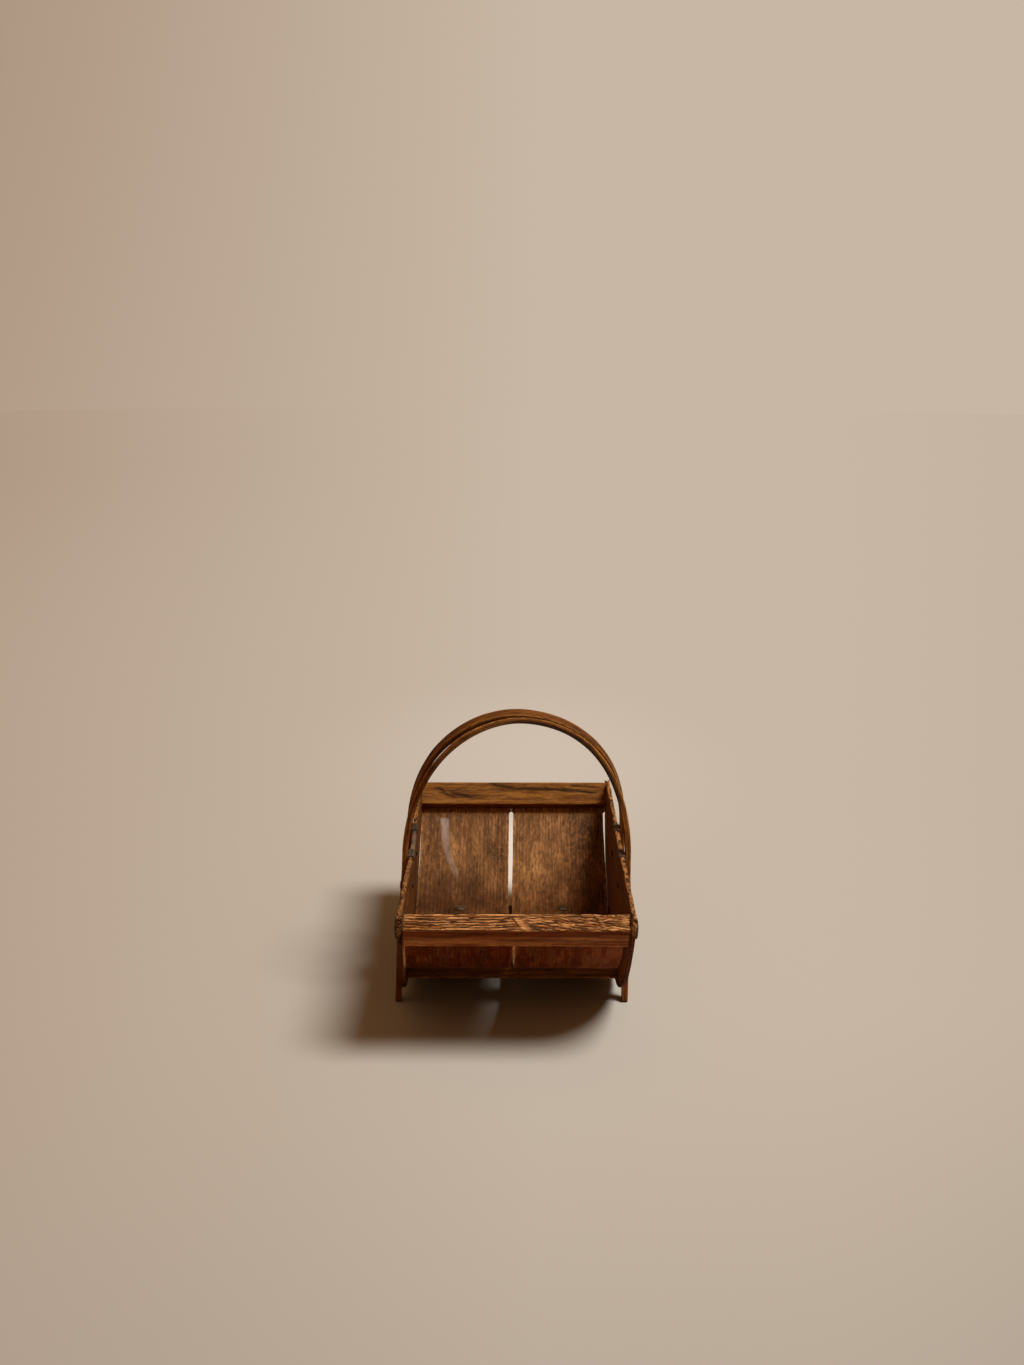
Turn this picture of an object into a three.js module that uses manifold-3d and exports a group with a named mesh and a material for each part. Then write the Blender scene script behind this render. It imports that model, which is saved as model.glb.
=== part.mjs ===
import * as THREE from "three";
import { mergeVertices } from "three/addons/utils/BufferGeometryUtils.js";
import Module from "manifold-3d";

// A wooden carrying trug: two boat-shaped side boards, a trough of two bent panels between a leaning
// rail at each end, two bars below, and a handle of two bentwood hoops whose legs are the four feet.
// Millimetres, +Z up, the long axis along Y, the front at -Y, and the origin on the floor below the middle.

const wasm = await Module();
wasm.setup();

// End rails
const TROUGH_WIDTH = 240;
const RAIL_SPAN = 510;
const RAIL_HEIGHT = 162;
const RAIL_BREADTH = 30;
const RAIL_THICKNESS = 21.5;
const RAIL_LEAN = THREE.MathUtils.degToRad(35);
const RAIL_EDGE_RADIUS = 2.5;
const RAIL_LOWER_EDGE_RADIUS = 5;
const GROOVE_DEPTH = 8;
const GROOVE_OUTER_WALL = 3.2;

// Side boards
const BOARD_THICKNESS = 5.5;
const BOARD_OVERHANG = 15;
const BOARD_RISE = 1.5;
const BOARD_FLOOR_GAP = 8.5;
const BOARD_BOTTOM_FLAT = 38;
const BOARD_END_CURVE_LENGTH = 17;
const BOARD_END_CURVE_HEIGHT = 41;
const BOARD_CORNER_RADIUS = 9;

// Trough panels, bent from thin board and not quite parallel
const PANEL_THICKNESS = 4.5;
const PANEL_HEIGHT = 46;
const PANEL_SEAT_LENGTH = 19;
const BEND_BEFORE_BAR = 39.5;
const CENTRE_GAP = { front: 3.8, back: 6.2 };
const CENTRE_GAP_OFFSET = { front: -1.3, back: -2.9 };
const LEFT_SLIT = { front: 3.8, back: 1.6 };
const RIGHT_SLIT = { front: 6.2, back: 2.6 };

// Bars below the trough
const BAR_INSET = 171;
const BAR_BREADTH = 38;
const BAR_THICKNESS = 16;
const BAR_EDGE_RADIUS = 1.5;

// Handle hoops
const HOOP_BREADTH = 15.6;
const HOOP_THICKNESS = 5.6;
const HOOP_EDGE_RADIUS = 1.5;
const HOOP_RISE = 150;
const HOOP_CROWN_GAP = 19.7;
const HOOP_SETBACK = -1.8;
const HOOP_INSET_FROM_BAR = 4;
const HOOP_SPRING_ABOVE_CLIP = 3;
const HOOP_TWIST = 7.5;
const HOOP_BEND = {
  left: { leanIn: THREE.MathUtils.degToRad(5), shoulder: 119, crown: 38 },
  right: { leanIn: THREE.MathUtils.degToRad(2.7), shoulder: 133, crown: 37 },
};
const FOOT_CORNER_RADIUS = 5;

// Folded clips over the boards' top edges
const CLIP_SHEET = 0.8;
const CLIP_LENGTH = 26;
const CLIP_INNER_FLANGE = 5;
const CLIP_OUTER_FLANGE = 16;

// Fixings
const RAIL_BOLT = { head: 21.5, height: 3, shank: 6, length: 45, fromOuterFace: 12.8 };
const TROUGH_SCREW = { head: 14.4, height: 3, shank: 4, length: 14, fromLeft: 55.6, fromRight: 57.1 };
const HOOP_RIVET = { head: 10, height: 1.8, innerHead: 7, innerHeight: 1.4, shank: 4, drop: 33.5 };
const BAR_SCREW = { head: 9, countersink: 3, shank: 4, length: 32 };

// The whole trug has racked a little out of square: its top leans to the right over its feet
const RACK = 0.027;
const RACK_LEVEL = 96;

// Clearances
const SEAT_GAP = 0.1;
const END_GAP = 0.05;
const GROOVE_PLAY = 0.3;
const HOLE_PLAY = 0.3;

// Steps of the round forms
const ARC_STEPS = 10;
const HOOP_STEPS = 64;
const HOOP_LEG_SHARE = 1 / 16;
const ROUND_SIDES = 24;

const FRONT = -1;
const BACK = 1;
const LEFT = -1;
const RIGHT = 1;
const ENDS = [{ name: "front", sign: FRONT }, { name: "back", sign: BACK }];
const SIDES = [{ name: "left", sign: LEFT }, { name: "right", sign: RIGHT }];

// Places that follow from the sizes above
const halfWidth = TROUGH_WIDTH / 2;
const boardOuterX = halfWidth + BOARD_THICKNESS;
const boardTop = RAIL_HEIGHT + BOARD_RISE;
const boardHalfLength = RAIL_SPAN / 2 + BOARD_OVERHANG;
const legInnerX = boardOuterX + SEAT_GAP + CLIP_SHEET + SEAT_GAP;
const legX = legInnerX + HOOP_THICKNESS / 2;
const legOuterX = legInnerX + HOOP_THICKNESS;
const railLength = TROUGH_WIDTH - 2 * END_GAP;

const stainedWood = { color: 0x6a421f, roughness: 0.62, metalness: 0 };
const paleWood = { color: 0x8a5a2c, roughness: 0.68, metalness: 0 };
const darkSteel = { color: 0x3b3a30, roughness: 0.5, metalness: 0.85 };

const trug = new THREE.Group();
trug.matrix.makeShear(0, 0, 0, 0, RACK, 0).setPosition(-RACK * RACK_LEVEL, 0, 0);
trug.matrixAutoUpdate = false;

// Booleans

function solidOf(geometry) {
  const bare = geometry.clone();
  bare.deleteAttribute("normal");
  bare.deleteAttribute("uv");
  const merged = mergeVertices(bare, 1e-4);
  const vertProperties = new Float32Array(merged.attributes.position.array);
  const triVerts = new Uint32Array(merged.index.array);
  return new wasm.Manifold(new wasm.Mesh({ numProp: 3, vertProperties, triVerts }));
}

function geometryOf(solid) {
  const mesh = solid.getMesh();
  const geometry = new THREE.BufferGeometry();
  geometry.setAttribute("position", new THREE.BufferAttribute(mesh.vertProperties, 3));
  geometry.setIndex(new THREE.BufferAttribute(mesh.triVerts, 1));
  geometry.computeVertexNormals();
  return geometry;
}

function cut(geometry, cutters) {
  let solid = solidOf(geometry);
  for (const cutter of cutters) {
    solid = solid.subtract(solidOf(cutter));
  }
  return geometryOf(solid);
}

function addPiece(name, geometry, finish, parent = trug) {
  const mesh = new THREE.Mesh(geometry, new THREE.MeshStandardMaterial(finish));
  mesh.name = name;
  parent.add(mesh);
  return mesh;
}

// Extrudes an outline drawn in Y and Z along X, centred on x = middle.
function extrudeAcross(shape, width, middle = 0, curveSegments = ARC_STEPS) {
  const geometry = new THREE.ExtrudeGeometry(shape, { depth: width, bevelEnabled: false, curveSegments });
  const along = new THREE.Matrix4().makeBasis(
    new THREE.Vector3(0, 1, 0),
    new THREE.Vector3(0, 0, 1),
    new THREE.Vector3(1, 0, 0),
  );
  geometry.applyMatrix4(along);
  geometry.translate(middle - width / 2, 0, 0);
  return geometry;
}

function holeAcross(radius, length, x, y, z) {
  const hole = new THREE.CylinderGeometry(radius, radius, length, ROUND_SIDES);
  hole.rotateZ(Math.PI / 2);
  hole.translate(x, y, z);
  return hole;
}

// A rectangle from (0, 0) to (width, height) whose corners take the radii listed anticlockwise from (0, 0).
function roundedRectangle(width, height, radii) {
  const [a, b, c, d] = radii;
  const shape = new THREE.Shape();
  shape.moveTo(a, 0);
  shape.lineTo(width - b, 0);
  shape.absarc(width - b, b, b, -Math.PI / 2, 0, false);
  shape.lineTo(width, height - c);
  shape.absarc(width - c, height - c, c, 0, Math.PI / 2, false);
  shape.lineTo(d, height);
  shape.absarc(d, height - d, d, Math.PI / 2, Math.PI, false);
  shape.lineTo(0, a);
  shape.absarc(a, a, a, Math.PI, Math.PI * 1.5, false);
  return shape;
}

// The arc that leaves one point level and rises to another: its centre, radius and sweep.
function risingArc(fromY, fromZ, toY, toZ) {
  const sweep = 2 * Math.atan2(toZ - fromZ, toY - fromY);
  const radius = (toY - fromY) / Math.sin(sweep);
  return { y: fromY, z: fromZ + radius, radius, sweep };
}

// The rails' section frame: its origin is the upper inner edge of the back rail.
const railOutward = new THREE.Vector2(Math.cos(RAIL_LEAN), -Math.sin(RAIL_LEAN));
const railUpward = new THREE.Vector2(Math.sin(RAIL_LEAN), Math.cos(RAIL_LEAN));

function onBackRail(outward, upward) {
  return new THREE.Vector2(RAIL_SPAN / 2, RAIL_HEIGHT)
    .addScaledVector(railOutward, outward)
    .addScaledVector(railUpward, upward);
}

// The groove's mouth, where the middle of a panel's thickness enters the underside of a rail
const grooveWidth = PANEL_THICKNESS + 2 * GROOVE_PLAY;
const grooveOutward = RAIL_THICKNESS - GROOVE_OUTER_WALL - grooveWidth / 2;
const grooveMouth = onBackRail(grooveOutward, -RAIL_BREADTH);

// The middle line of the panels' thickness: level bottom, a bend, and a straight end in the groove.
// The bend is straight for a short way where the panel seats on its bar.
const panelMiddleZ = PANEL_HEIGHT - PANEL_THICKNESS / 2;
const barDistance = RAIL_SPAN / 2 - BAR_INSET;
const bend = risingArc(barDistance - BEND_BEFORE_BAR, panelMiddleZ, grooveMouth.x, grooveMouth.y);
const barAngle = Math.asin((barDistance - bend.y) / bend.radius);
const seatHalfAngle = Math.asin(PANEL_SEAT_LENGTH / 2 / bend.radius);
const seatRadius = bend.radius * Math.cos(seatHalfAngle);
const railBoltOutward = RAIL_THICKNESS - RAIL_BOLT.fromOuterFace;
const railBoltPlace = onBackRail(railBoltOutward, -RAIL_BREADTH / 2);

// A point of the back bend at an angle from the vertical, this far from the bend's centre.
function onBend(angle, radius) {
  return new THREE.Vector2(bend.y + radius * Math.sin(angle), bend.z - radius * Math.cos(angle));
}

function panelMiddleLine() {
  const half = [new THREE.Vector2(0, panelMiddleZ)];
  const beforeSeat = barAngle - seatHalfAngle;
  const afterSeat = barAngle + seatHalfAngle;
  half.push(onBend(0, bend.radius));
  half.push(onBend(beforeSeat, bend.radius));
  for (let step = 0; step <= ARC_STEPS; step += 1) {
    half.push(onBend(THREE.MathUtils.lerp(afterSeat, bend.sweep, step / ARC_STEPS), bend.radius));
  }
  const end = half[half.length - 1].clone();
  end.x += GROOVE_DEPTH * Math.cos(bend.sweep);
  end.y += GROOVE_DEPTH * Math.sin(bend.sweep);
  half.push(end);
  const mirrored = half.slice(1).map((point) => new THREE.Vector2(-point.x, point.y));
  return [...mirrored.reverse(), ...half];
}

// Moves a line of points sideways by a distance, with its corners mitred.
function offsetLine(points, distance) {
  return points.map((point, index) => {
    const before = points[Math.max(index - 1, 0)];
    const after = points[Math.min(index + 1, points.length - 1)];
    const arriving = point.clone().sub(index > 0 ? before : point);
    const leaving = after.clone().sub(index < points.length - 1 ? point : after);
    const first = (index > 0 ? arriving : leaving).clone().normalize();
    const second = (index < points.length - 1 ? leaving : arriving).clone().normalize();
    const normal = new THREE.Vector2(-first.y - second.y, first.x + second.x).normalize();
    const mitre = distance / (normal.x * -first.y + normal.y * first.x);
    return point.clone().addScaledVector(normal, mitre);
  });
}

function panelOutline() {
  const middle = panelMiddleLine();
  const upper = offsetLine(middle, PANEL_THICKNESS / 2);
  const lower = offsetLine(middle, -PANEL_THICKNESS / 2);
  return new THREE.Shape([...lower, ...upper.reverse()]);
}

// A length that changes evenly from the front end of the trough to the back.
function alongTrough(size, y) {
  return THREE.MathUtils.mapLinear(y, -RAIL_SPAN / 2, RAIL_SPAN / 2, size.front, size.back);
}

function panelEdges(side, y) {
  const halfGap = alongTrough(CENTRE_GAP, y) / 2;
  const middle = alongTrough(CENTRE_GAP_OFFSET, y);
  if (side.sign === LEFT) {
    return [-halfWidth + alongTrough(LEFT_SLIT, y), middle - halfGap];
  }
  return [middle + halfGap, halfWidth - alongTrough(RIGHT_SLIT, y)];
}

function troughScrewX(side) {
  return side.sign === LEFT ? -halfWidth + TROUGH_SCREW.fromLeft : halfWidth - TROUGH_SCREW.fromRight;
}

const seatTop = onBend(barAngle, seatRadius - PANEL_THICKNESS / 2);
const barMiddle = onBend(barAngle, seatRadius + PANEL_THICKNESS / 2 + SEAT_GAP + BAR_THICKNESS / 2);

function troughScrewHole(side, end) {
  const radius = TROUGH_SCREW.shank / 2 + HOLE_PLAY;
  const hole = new THREE.CylinderGeometry(radius, radius, TROUGH_SCREW.length * 2, ROUND_SIDES);
  hole.rotateX(Math.PI / 2 + barAngle * end.sign);
  hole.translate(troughScrewX(side), seatTop.x * end.sign, seatTop.y);
  return hole;
}

for (const side of SIDES) {
  const panel = extrudeAcross(panelOutline(), 1, 0.5);
  const position = panel.attributes.position;
  for (let index = 0; index < position.count; index += 1) {
    const [from, to] = panelEdges(side, position.getY(index));
    position.setX(index, THREE.MathUtils.lerp(from, to, position.getX(index)));
  }
  const holes = ENDS.map((end) => troughScrewHole(side, end));
  addPiece(`trough_panel_${side.name}`, cut(panel, holes), stainedWood);
}

// End rails, each in a frame turned about the trough's middle

for (const end of ENDS) {
  const frame = new THREE.Group();
  frame.rotation.z = end.sign === BACK ? 0 : Math.PI;
  trug.add(frame);
  const section = roundedRectangle(RAIL_THICKNESS, RAIL_BREADTH, [
    RAIL_LOWER_EDGE_RADIUS,
    RAIL_EDGE_RADIUS,
    RAIL_EDGE_RADIUS,
    RAIL_EDGE_RADIUS,
  ]);
  const bar = extrudeAcross(section, railLength, 0, 4);
  bar.translate(0, 0, -RAIL_BREADTH);
  const groove = new THREE.BoxGeometry(TROUGH_WIDTH + 2, grooveWidth, 2 * (GROOVE_DEPTH + GROOVE_PLAY));
  groove.rotateX(bend.sweep + RAIL_LEAN - Math.PI / 2);
  groove.translate(0, grooveOutward, -RAIL_BREADTH);
  const boltHoles = SIDES.map((side) => {
    const radius = RAIL_BOLT.shank / 2 + HOLE_PLAY;
    const depth = RAIL_BOLT.length - BOARD_THICKNESS + HOLE_PLAY;
    return holeAcross(radius, 2 * depth, side.sign * halfWidth, railBoltOutward, -RAIL_BREADTH / 2);
  });
  const rail = addPiece(`${end.name}_rail`, cut(bar, [groove, ...boltHoles]), stainedWood, frame);
  rail.rotation.x = -RAIL_LEAN;
  rail.position.set(0, RAIL_SPAN / 2, RAIL_HEIGHT);
}

// The hoops lie in planes that lean towards each other. In a hoop's own frame x runs across the trug,
// z runs up the plane from the rails' height, and y is square to the plane.

const legAtBar = barDistance - HOOP_INSET_FROM_BAR;
const crownHalfSpread = (HOOP_CROWN_GAP + HOOP_BREADTH) / 2;
const crownHeight = RAIL_HEIGHT + HOOP_RISE;
const hoopLean = Math.atan2(legAtBar - crownHalfSpread, crownHeight - barMiddle.y);

function hoopY(end, z) {
  return HOOP_SETBACK + end.sign * (crownHalfSpread + (crownHeight - z) * Math.tan(hoopLean));
}

function alongHoop(z) {
  return (z - RAIL_HEIGHT) / Math.cos(hoopLean);
}

// Two straight legs and between them an arch, which springs from just above the clips. The arch is
// twisted: its left shoulder stands outwards from the hoop's plane and its right one inwards.
class HoopLine extends THREE.Curve {
  constructor(end) {
    super();
    this.outward = end.sign;
    this.foot = alongHoop(-FOOT_CORNER_RADIUS);
    this.spring = alongHoop(boardTop + CLIP_SHEET + HOOP_SPRING_ABOVE_CLIP);
    this.crown = alongHoop(crownHeight);
    this.quarters = SIDES.map((side) => this.quarter(side.sign, HOOP_BEND[side.name]));
  }

  quarter(sign, { leanIn, shoulder, crown }) {
    const start = new THREE.Vector2(sign * legX, this.spring);
    const rising = new THREE.Vector2(-sign * Math.sin(leanIn), Math.cos(leanIn)).multiplyScalar(shoulder);
    const top = new THREE.Vector2(0, this.crown);
    const level = new THREE.Vector2(sign * crown, this.crown);
    return new THREE.CubicBezierCurve(start, rising.add(start), level, top);
  }

  // Both halves run from foot to crown, so that a step of the strip falls on each spring.
  getPoint(t, target = new THREE.Vector3()) {
    const half = t < 0.5 ? 0 : 1;
    const along = 1 - Math.abs(2 * t - 1);
    if (along <= HOOP_LEG_SHARE) {
      const z = THREE.MathUtils.lerp(this.foot, this.spring, along / HOOP_LEG_SHARE);
      return target.set(SIDES[half].sign * legX, 0, z);
    }
    const { x, y } = this.quarters[half].getPoint((along - HOOP_LEG_SHARE) / (1 - HOOP_LEG_SHARE));
    const risen = THREE.MathUtils.smoothstep(y, this.spring, this.crown);
    return target.set(x, -2 * HOOP_TWIST * this.outward * (x / legX) * risen, y);
  }

  getUtoTmapping(u) {
    return u;
  }

  // The strip's flat faces stay square to the hoop's plane all the way round.
  computeFrenetFrames(segments) {
    const frames = { tangents: [], normals: [], binormals: [] };
    for (let step = 0; step <= segments; step += 1) {
      const tangent = this.getTangent(step / segments);
      const normal = new THREE.Vector3(0, -1, 0).addScaledVector(tangent, tangent.y).normalize();
      frames.tangents.push(tangent);
      frames.normals.push(normal);
      frames.binormals.push(new THREE.Vector3().crossVectors(tangent, normal));
    }
    return frames;
  }
}

function hoopStrip(end) {
  const radii = [HOOP_EDGE_RADIUS, HOOP_EDGE_RADIUS, HOOP_EDGE_RADIUS, HOOP_EDGE_RADIUS];
  const section = roundedRectangle(HOOP_BREADTH, HOOP_THICKNESS, radii);
  const centred = new THREE.Shape(section.getPoints(1).map((point) => {
    return new THREE.Vector2(point.x - HOOP_BREADTH / 2, point.y - HOOP_THICKNESS / 2);
  }));
  return new THREE.ExtrudeGeometry(centred, { steps: HOOP_STEPS, extrudePath: new HoopLine(end) });
}

// What is cut away below the feet: the floor's plane, rounded up at both corners of the strip.
function underFeet(end) {
  const half = HOOP_BREADTH / 2;
  const corner = FOOT_CORNER_RADIUS;
  const inner = half - corner;
  const floorAt = (y) => alongHoop(0) - end.sign * y * Math.tan(hoopLean);
  const shape = new THREE.Shape();
  shape.moveTo(-2 * half, floorAt(-half) - 2 * half);
  shape.lineTo(2 * half, floorAt(half) - 2 * half);
  shape.lineTo(2 * half, floorAt(half) + corner);
  shape.lineTo(half, floorAt(half) + corner);
  shape.quadraticCurveTo(half, floorAt(half), inner, floorAt(inner));
  shape.lineTo(-inner, floorAt(-inner));
  shape.quadraticCurveTo(-half, floorAt(-half), -half, floorAt(-half) + corner);
  shape.lineTo(-2 * half, floorAt(-half) + corner);
  return extrudeAcross(shape, 2 * (legOuterX + HOOP_THICKNESS), 0, 4);
}

// Where a hoop's middle line crosses the middle of its bar's thickness: the bar screws' place.
function barScrewPlace(end) {
  const fromBarMiddle = end.sign * hoopY(end, barMiddle.y) - barMiddle.x;
  const slope = Math.tan(barAngle);
  const along = fromBarMiddle / (1 + slope * Math.tan(hoopLean));
  return { y: end.sign * (barMiddle.x + along), z: barMiddle.y + along * slope, along: end.sign * along };
}

function rivetPlace(end) {
  const z = RAIL_HEIGHT - HOOP_RIVET.drop;
  return { y: hoopY(end, z), z };
}

function turned(points) {
  const profile = points.map(([radius, height]) => new THREE.Vector2(radius, height));
  return new THREE.LatheGeometry(profile, ROUND_SIDES);
}

// A round head with a low dome above y = 0, and its shank below, turned about Y.
function domedBolt(head, height, shank, length) {
  const rim = height * 0.45;
  const points = [[0, -length], [shank / 2, -length], [shank / 2, 0], [head / 2, 0], [head / 2, rim]];
  const domeSteps = 4;
  for (let step = 1; step <= domeSteps; step += 1) {
    const angle = (Math.PI / 2) * (step / domeSteps);
    points.push([(head / 2) * Math.cos(angle), rim + (height - rim) * Math.sin(angle)]);
  }
  points[points.length - 1][0] = 0;
  return turned(points);
}

function countersunkScrew(play = 0) {
  const half = BAR_SCREW.shank / 2 + play;
  const head = BAR_SCREW.head / 2 + play;
  const tip = -BAR_SCREW.length - play;
  return turned([[0, tip], [half, tip], [half, -BAR_SCREW.countersink], [head, 0], [head, play], [0, play]]);
}

// Turns a fixing that points up Y so that its head looks out from the board on this side.
function pointOutwards(geometry, side) {
  geometry.rotateZ(-side.sign * Math.PI / 2);
  return geometry;
}

for (const end of ENDS) {
  const frame = new THREE.Group();
  frame.position.set(0, hoopY(end, RAIL_HEIGHT), RAIL_HEIGHT);
  frame.rotation.x = end.sign * hoopLean;
  trug.add(frame);
  const cutters = [underFeet(end)];
  for (const side of SIDES) {
    const rivetZ = alongHoop(rivetPlace(end).z);
    const rivetRadius = HOOP_RIVET.shank / 2 + HOLE_PLAY;
    cutters.push(holeAcross(rivetRadius, HOOP_THICKNESS * 2, side.sign * legX, 0, rivetZ));
    const screw = pointOutwards(countersunkScrew(HOLE_PLAY), side);
    screw.translate(side.sign * legOuterX, 0, alongHoop(barScrewPlace(end).z));
    cutters.push(screw);
  }
  addPiece(`handle_hoop_${end.name}`, cut(hoopStrip(end), cutters), paleWood, frame);
}

// Bars below the trough, each tilted to the bend that it carries

for (const end of ENDS) {
  const radii = [BAR_EDGE_RADIUS, BAR_EDGE_RADIUS, BAR_EDGE_RADIUS, BAR_EDGE_RADIUS];
  const bar = extrudeAcross(roundedRectangle(BAR_BREADTH, BAR_THICKNESS, radii), railLength, 0, 2);
  bar.translate(0, -BAR_BREADTH / 2, -BAR_THICKNESS / 2);
  const cutters = [];
  for (const side of SIDES) {
    const across = barScrewPlace(end).along / Math.cos(barAngle);
    const depth = BAR_SCREW.length - (legOuterX - halfWidth) + HOLE_PLAY;
    const radius = BAR_SCREW.shank / 2 + HOLE_PLAY;
    cutters.push(holeAcross(radius, 2 * depth, side.sign * halfWidth, across, 0));
    const pilot = TROUGH_SCREW.shank / 2 + HOLE_PLAY;
    const deep = TROUGH_SCREW.length - PANEL_THICKNESS;
    const hole = new THREE.CylinderGeometry(pilot, pilot, 2 * deep, ROUND_SIDES);
    hole.rotateX(Math.PI / 2);
    hole.translate(troughScrewX(side), 0, BAR_THICKNESS / 2);
    cutters.push(hole);
  }
  const piece = addPiece(`bottom_bar_${end.name}`, cut(bar, cutters), stainedWood);
  piece.position.set(0, end.sign * barMiddle.x, barMiddle.y);
  piece.rotation.x = end.sign * barAngle;
}

// Side boards: a straight top edge, a boat-shaped belly and steep curved ends

function boardShape() {
  const bellyEnd = boardHalfLength - BOARD_END_CURVE_LENGTH;
  const bellyTop = boardTop - BOARD_END_CURVE_HEIGHT;
  const belly = risingArc(BOARD_BOTTOM_FLAT / 2, BOARD_FLOOR_GAP, bellyEnd, bellyTop);
  const endBow = bellyTop + BOARD_END_CURVE_LENGTH * Math.tan(belly.sweep);
  const corner = BOARD_CORNER_RADIUS;
  const down = -Math.PI / 2;
  const shape = new THREE.Shape();
  shape.moveTo(-belly.y, BOARD_FLOOR_GAP);
  shape.lineTo(belly.y, BOARD_FLOOR_GAP);
  shape.absarc(belly.y, belly.z, belly.radius, down, down + belly.sweep, false);
  shape.quadraticCurveTo(boardHalfLength, endBow, boardHalfLength, boardTop - corner);
  shape.quadraticCurveTo(boardHalfLength, boardTop, boardHalfLength - corner, boardTop);
  shape.lineTo(corner - boardHalfLength, boardTop);
  shape.quadraticCurveTo(-boardHalfLength, boardTop, -boardHalfLength, boardTop - corner);
  shape.quadraticCurveTo(-boardHalfLength, endBow, -bellyEnd, bellyTop);
  shape.absarc(-belly.y, belly.z, belly.radius, down - belly.sweep, down, false);
  return shape;
}

for (const side of SIDES) {
  const middle = side.sign * (halfWidth + BOARD_THICKNESS / 2);
  const board = extrudeAcross(boardShape(), BOARD_THICKNESS, middle, 16);
  const holes = [];
  for (const end of ENDS) {
    const through = BOARD_THICKNESS * 2;
    const rivet = rivetPlace(end);
    const screw = barScrewPlace(end);
    const boltRadius = RAIL_BOLT.shank / 2 + HOLE_PLAY;
    holes.push(holeAcross(boltRadius, through, middle, end.sign * railBoltPlace.x, railBoltPlace.y));
    holes.push(holeAcross(HOOP_RIVET.shank / 2 + HOLE_PLAY, through, middle, rivet.y, rivet.z));
    holes.push(holeAcross(BAR_SCREW.shank / 2 + HOLE_PLAY, through, middle, screw.y, screw.z));
  }
  addPiece(`side_board_${side.name}`, cut(board, holes), stainedWood);
}

// Clips: sheet folded over a board's top edge, its outer flange behind the hoop's leg

function clipShape() {
  const inner = halfWidth - SEAT_GAP;
  const outer = boardOuterX + SEAT_GAP;
  const top = boardTop + SEAT_GAP;
  const innerFoot = top - CLIP_INNER_FLANGE;
  const outerFoot = top - CLIP_OUTER_FLANGE;
  const sheet = CLIP_SHEET;
  const shape = new THREE.Shape();
  shape.moveTo(inner, innerFoot);
  shape.lineTo(inner, top);
  shape.lineTo(outer, top);
  shape.lineTo(outer, outerFoot);
  shape.lineTo(outer + sheet, outerFoot);
  shape.lineTo(outer + sheet, top);
  shape.quadraticCurveTo(outer + sheet, top + sheet, outer, top + sheet);
  shape.lineTo(inner, top + sheet);
  shape.quadraticCurveTo(inner - sheet, top + sheet, inner - sheet, top);
  shape.lineTo(inner - sheet, innerFoot);
  return shape;
}

function clipGeometry() {
  const geometry = new THREE.ExtrudeGeometry(clipShape(), {
    depth: CLIP_LENGTH,
    bevelEnabled: false,
    curveSegments: 3,
  });
  geometry.rotateX(Math.PI / 2);
  geometry.translate(0, CLIP_LENGTH / 2, 0);
  return geometry;
}

for (const end of ENDS) {
  for (const side of SIDES) {
    const place = `${end.name}_${side.name}`;

    const clip = addPiece(`hoop_clip_${place}`, clipGeometry(), darkSteel);
    clip.rotation.z = side.sign === RIGHT ? 0 : Math.PI;
    clip.position.y = hoopY(end, boardTop);

    const bolt = domedBolt(RAIL_BOLT.head, RAIL_BOLT.height, RAIL_BOLT.shank, RAIL_BOLT.length);
    const railBolt = addPiece(`rail_bolt_${place}`, pointOutwards(bolt, side), darkSteel);
    const boltX = side.sign * (boardOuterX + SEAT_GAP);
    railBolt.position.set(boltX, end.sign * railBoltPlace.x, railBoltPlace.y);

    const rivet = addPiece(`hoop_rivet_${place}`, pointOutwards(rivetGeometry(), side), darkSteel);
    rivet.position.set(side.sign * legOuterX, rivetPlace(end).y, rivetPlace(end).z);

    const barScrew = addPiece(`bar_screw_${place}`, pointOutwards(countersunkScrew(), side), darkSteel);
    barScrew.position.set(side.sign * legOuterX, barScrewPlace(end).y, barScrewPlace(end).z);

    const { head, height, shank, length } = TROUGH_SCREW;
    const screw = domedBolt(head, height, shank, length - HOLE_PLAY);
    screw.rotateX(Math.PI / 2);
    const lift = onBend(barAngle, seatRadius - PANEL_THICKNESS / 2 - SEAT_GAP);
    const troughScrew = addPiece(`trough_screw_${place}`, screw, darkSteel);
    troughScrew.position.set(troughScrewX(side), end.sign * lift.x, lift.y);
    troughScrew.rotation.x = end.sign * barAngle;
  }
}

// A rivet through leg and board: a low dome outside and a smaller clenched head inside.
function rivetGeometry() {
  const { head, height, innerHead, innerHeight, shank } = HOOP_RIVET;
  const grip = legOuterX - halfWidth + SEAT_GAP;
  const inner = -grip - innerHeight;
  return turned([
    [0, inner],
    [innerHead * 0.35, inner],
    [innerHead / 2, inner + innerHeight * 0.4],
    [innerHead / 2, -grip],
    [shank / 2, -grip],
    [shank / 2, SEAT_GAP],
    [head / 2, SEAT_GAP],
    [head / 2, SEAT_GAP + height * 0.35],
    [head * 0.36, SEAT_GAP + height * 0.85],
    [0, SEAT_GAP + height],
  ]);
}

export default trug;
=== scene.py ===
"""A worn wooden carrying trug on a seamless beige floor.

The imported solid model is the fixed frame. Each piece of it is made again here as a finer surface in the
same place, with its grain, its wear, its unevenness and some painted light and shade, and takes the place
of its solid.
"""

from __future__ import annotations

import logging
import math
from dataclasses import dataclass, field
from enum import Enum

import bpy
import numpy as np
from mathutils import Matrix, Vector

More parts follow.
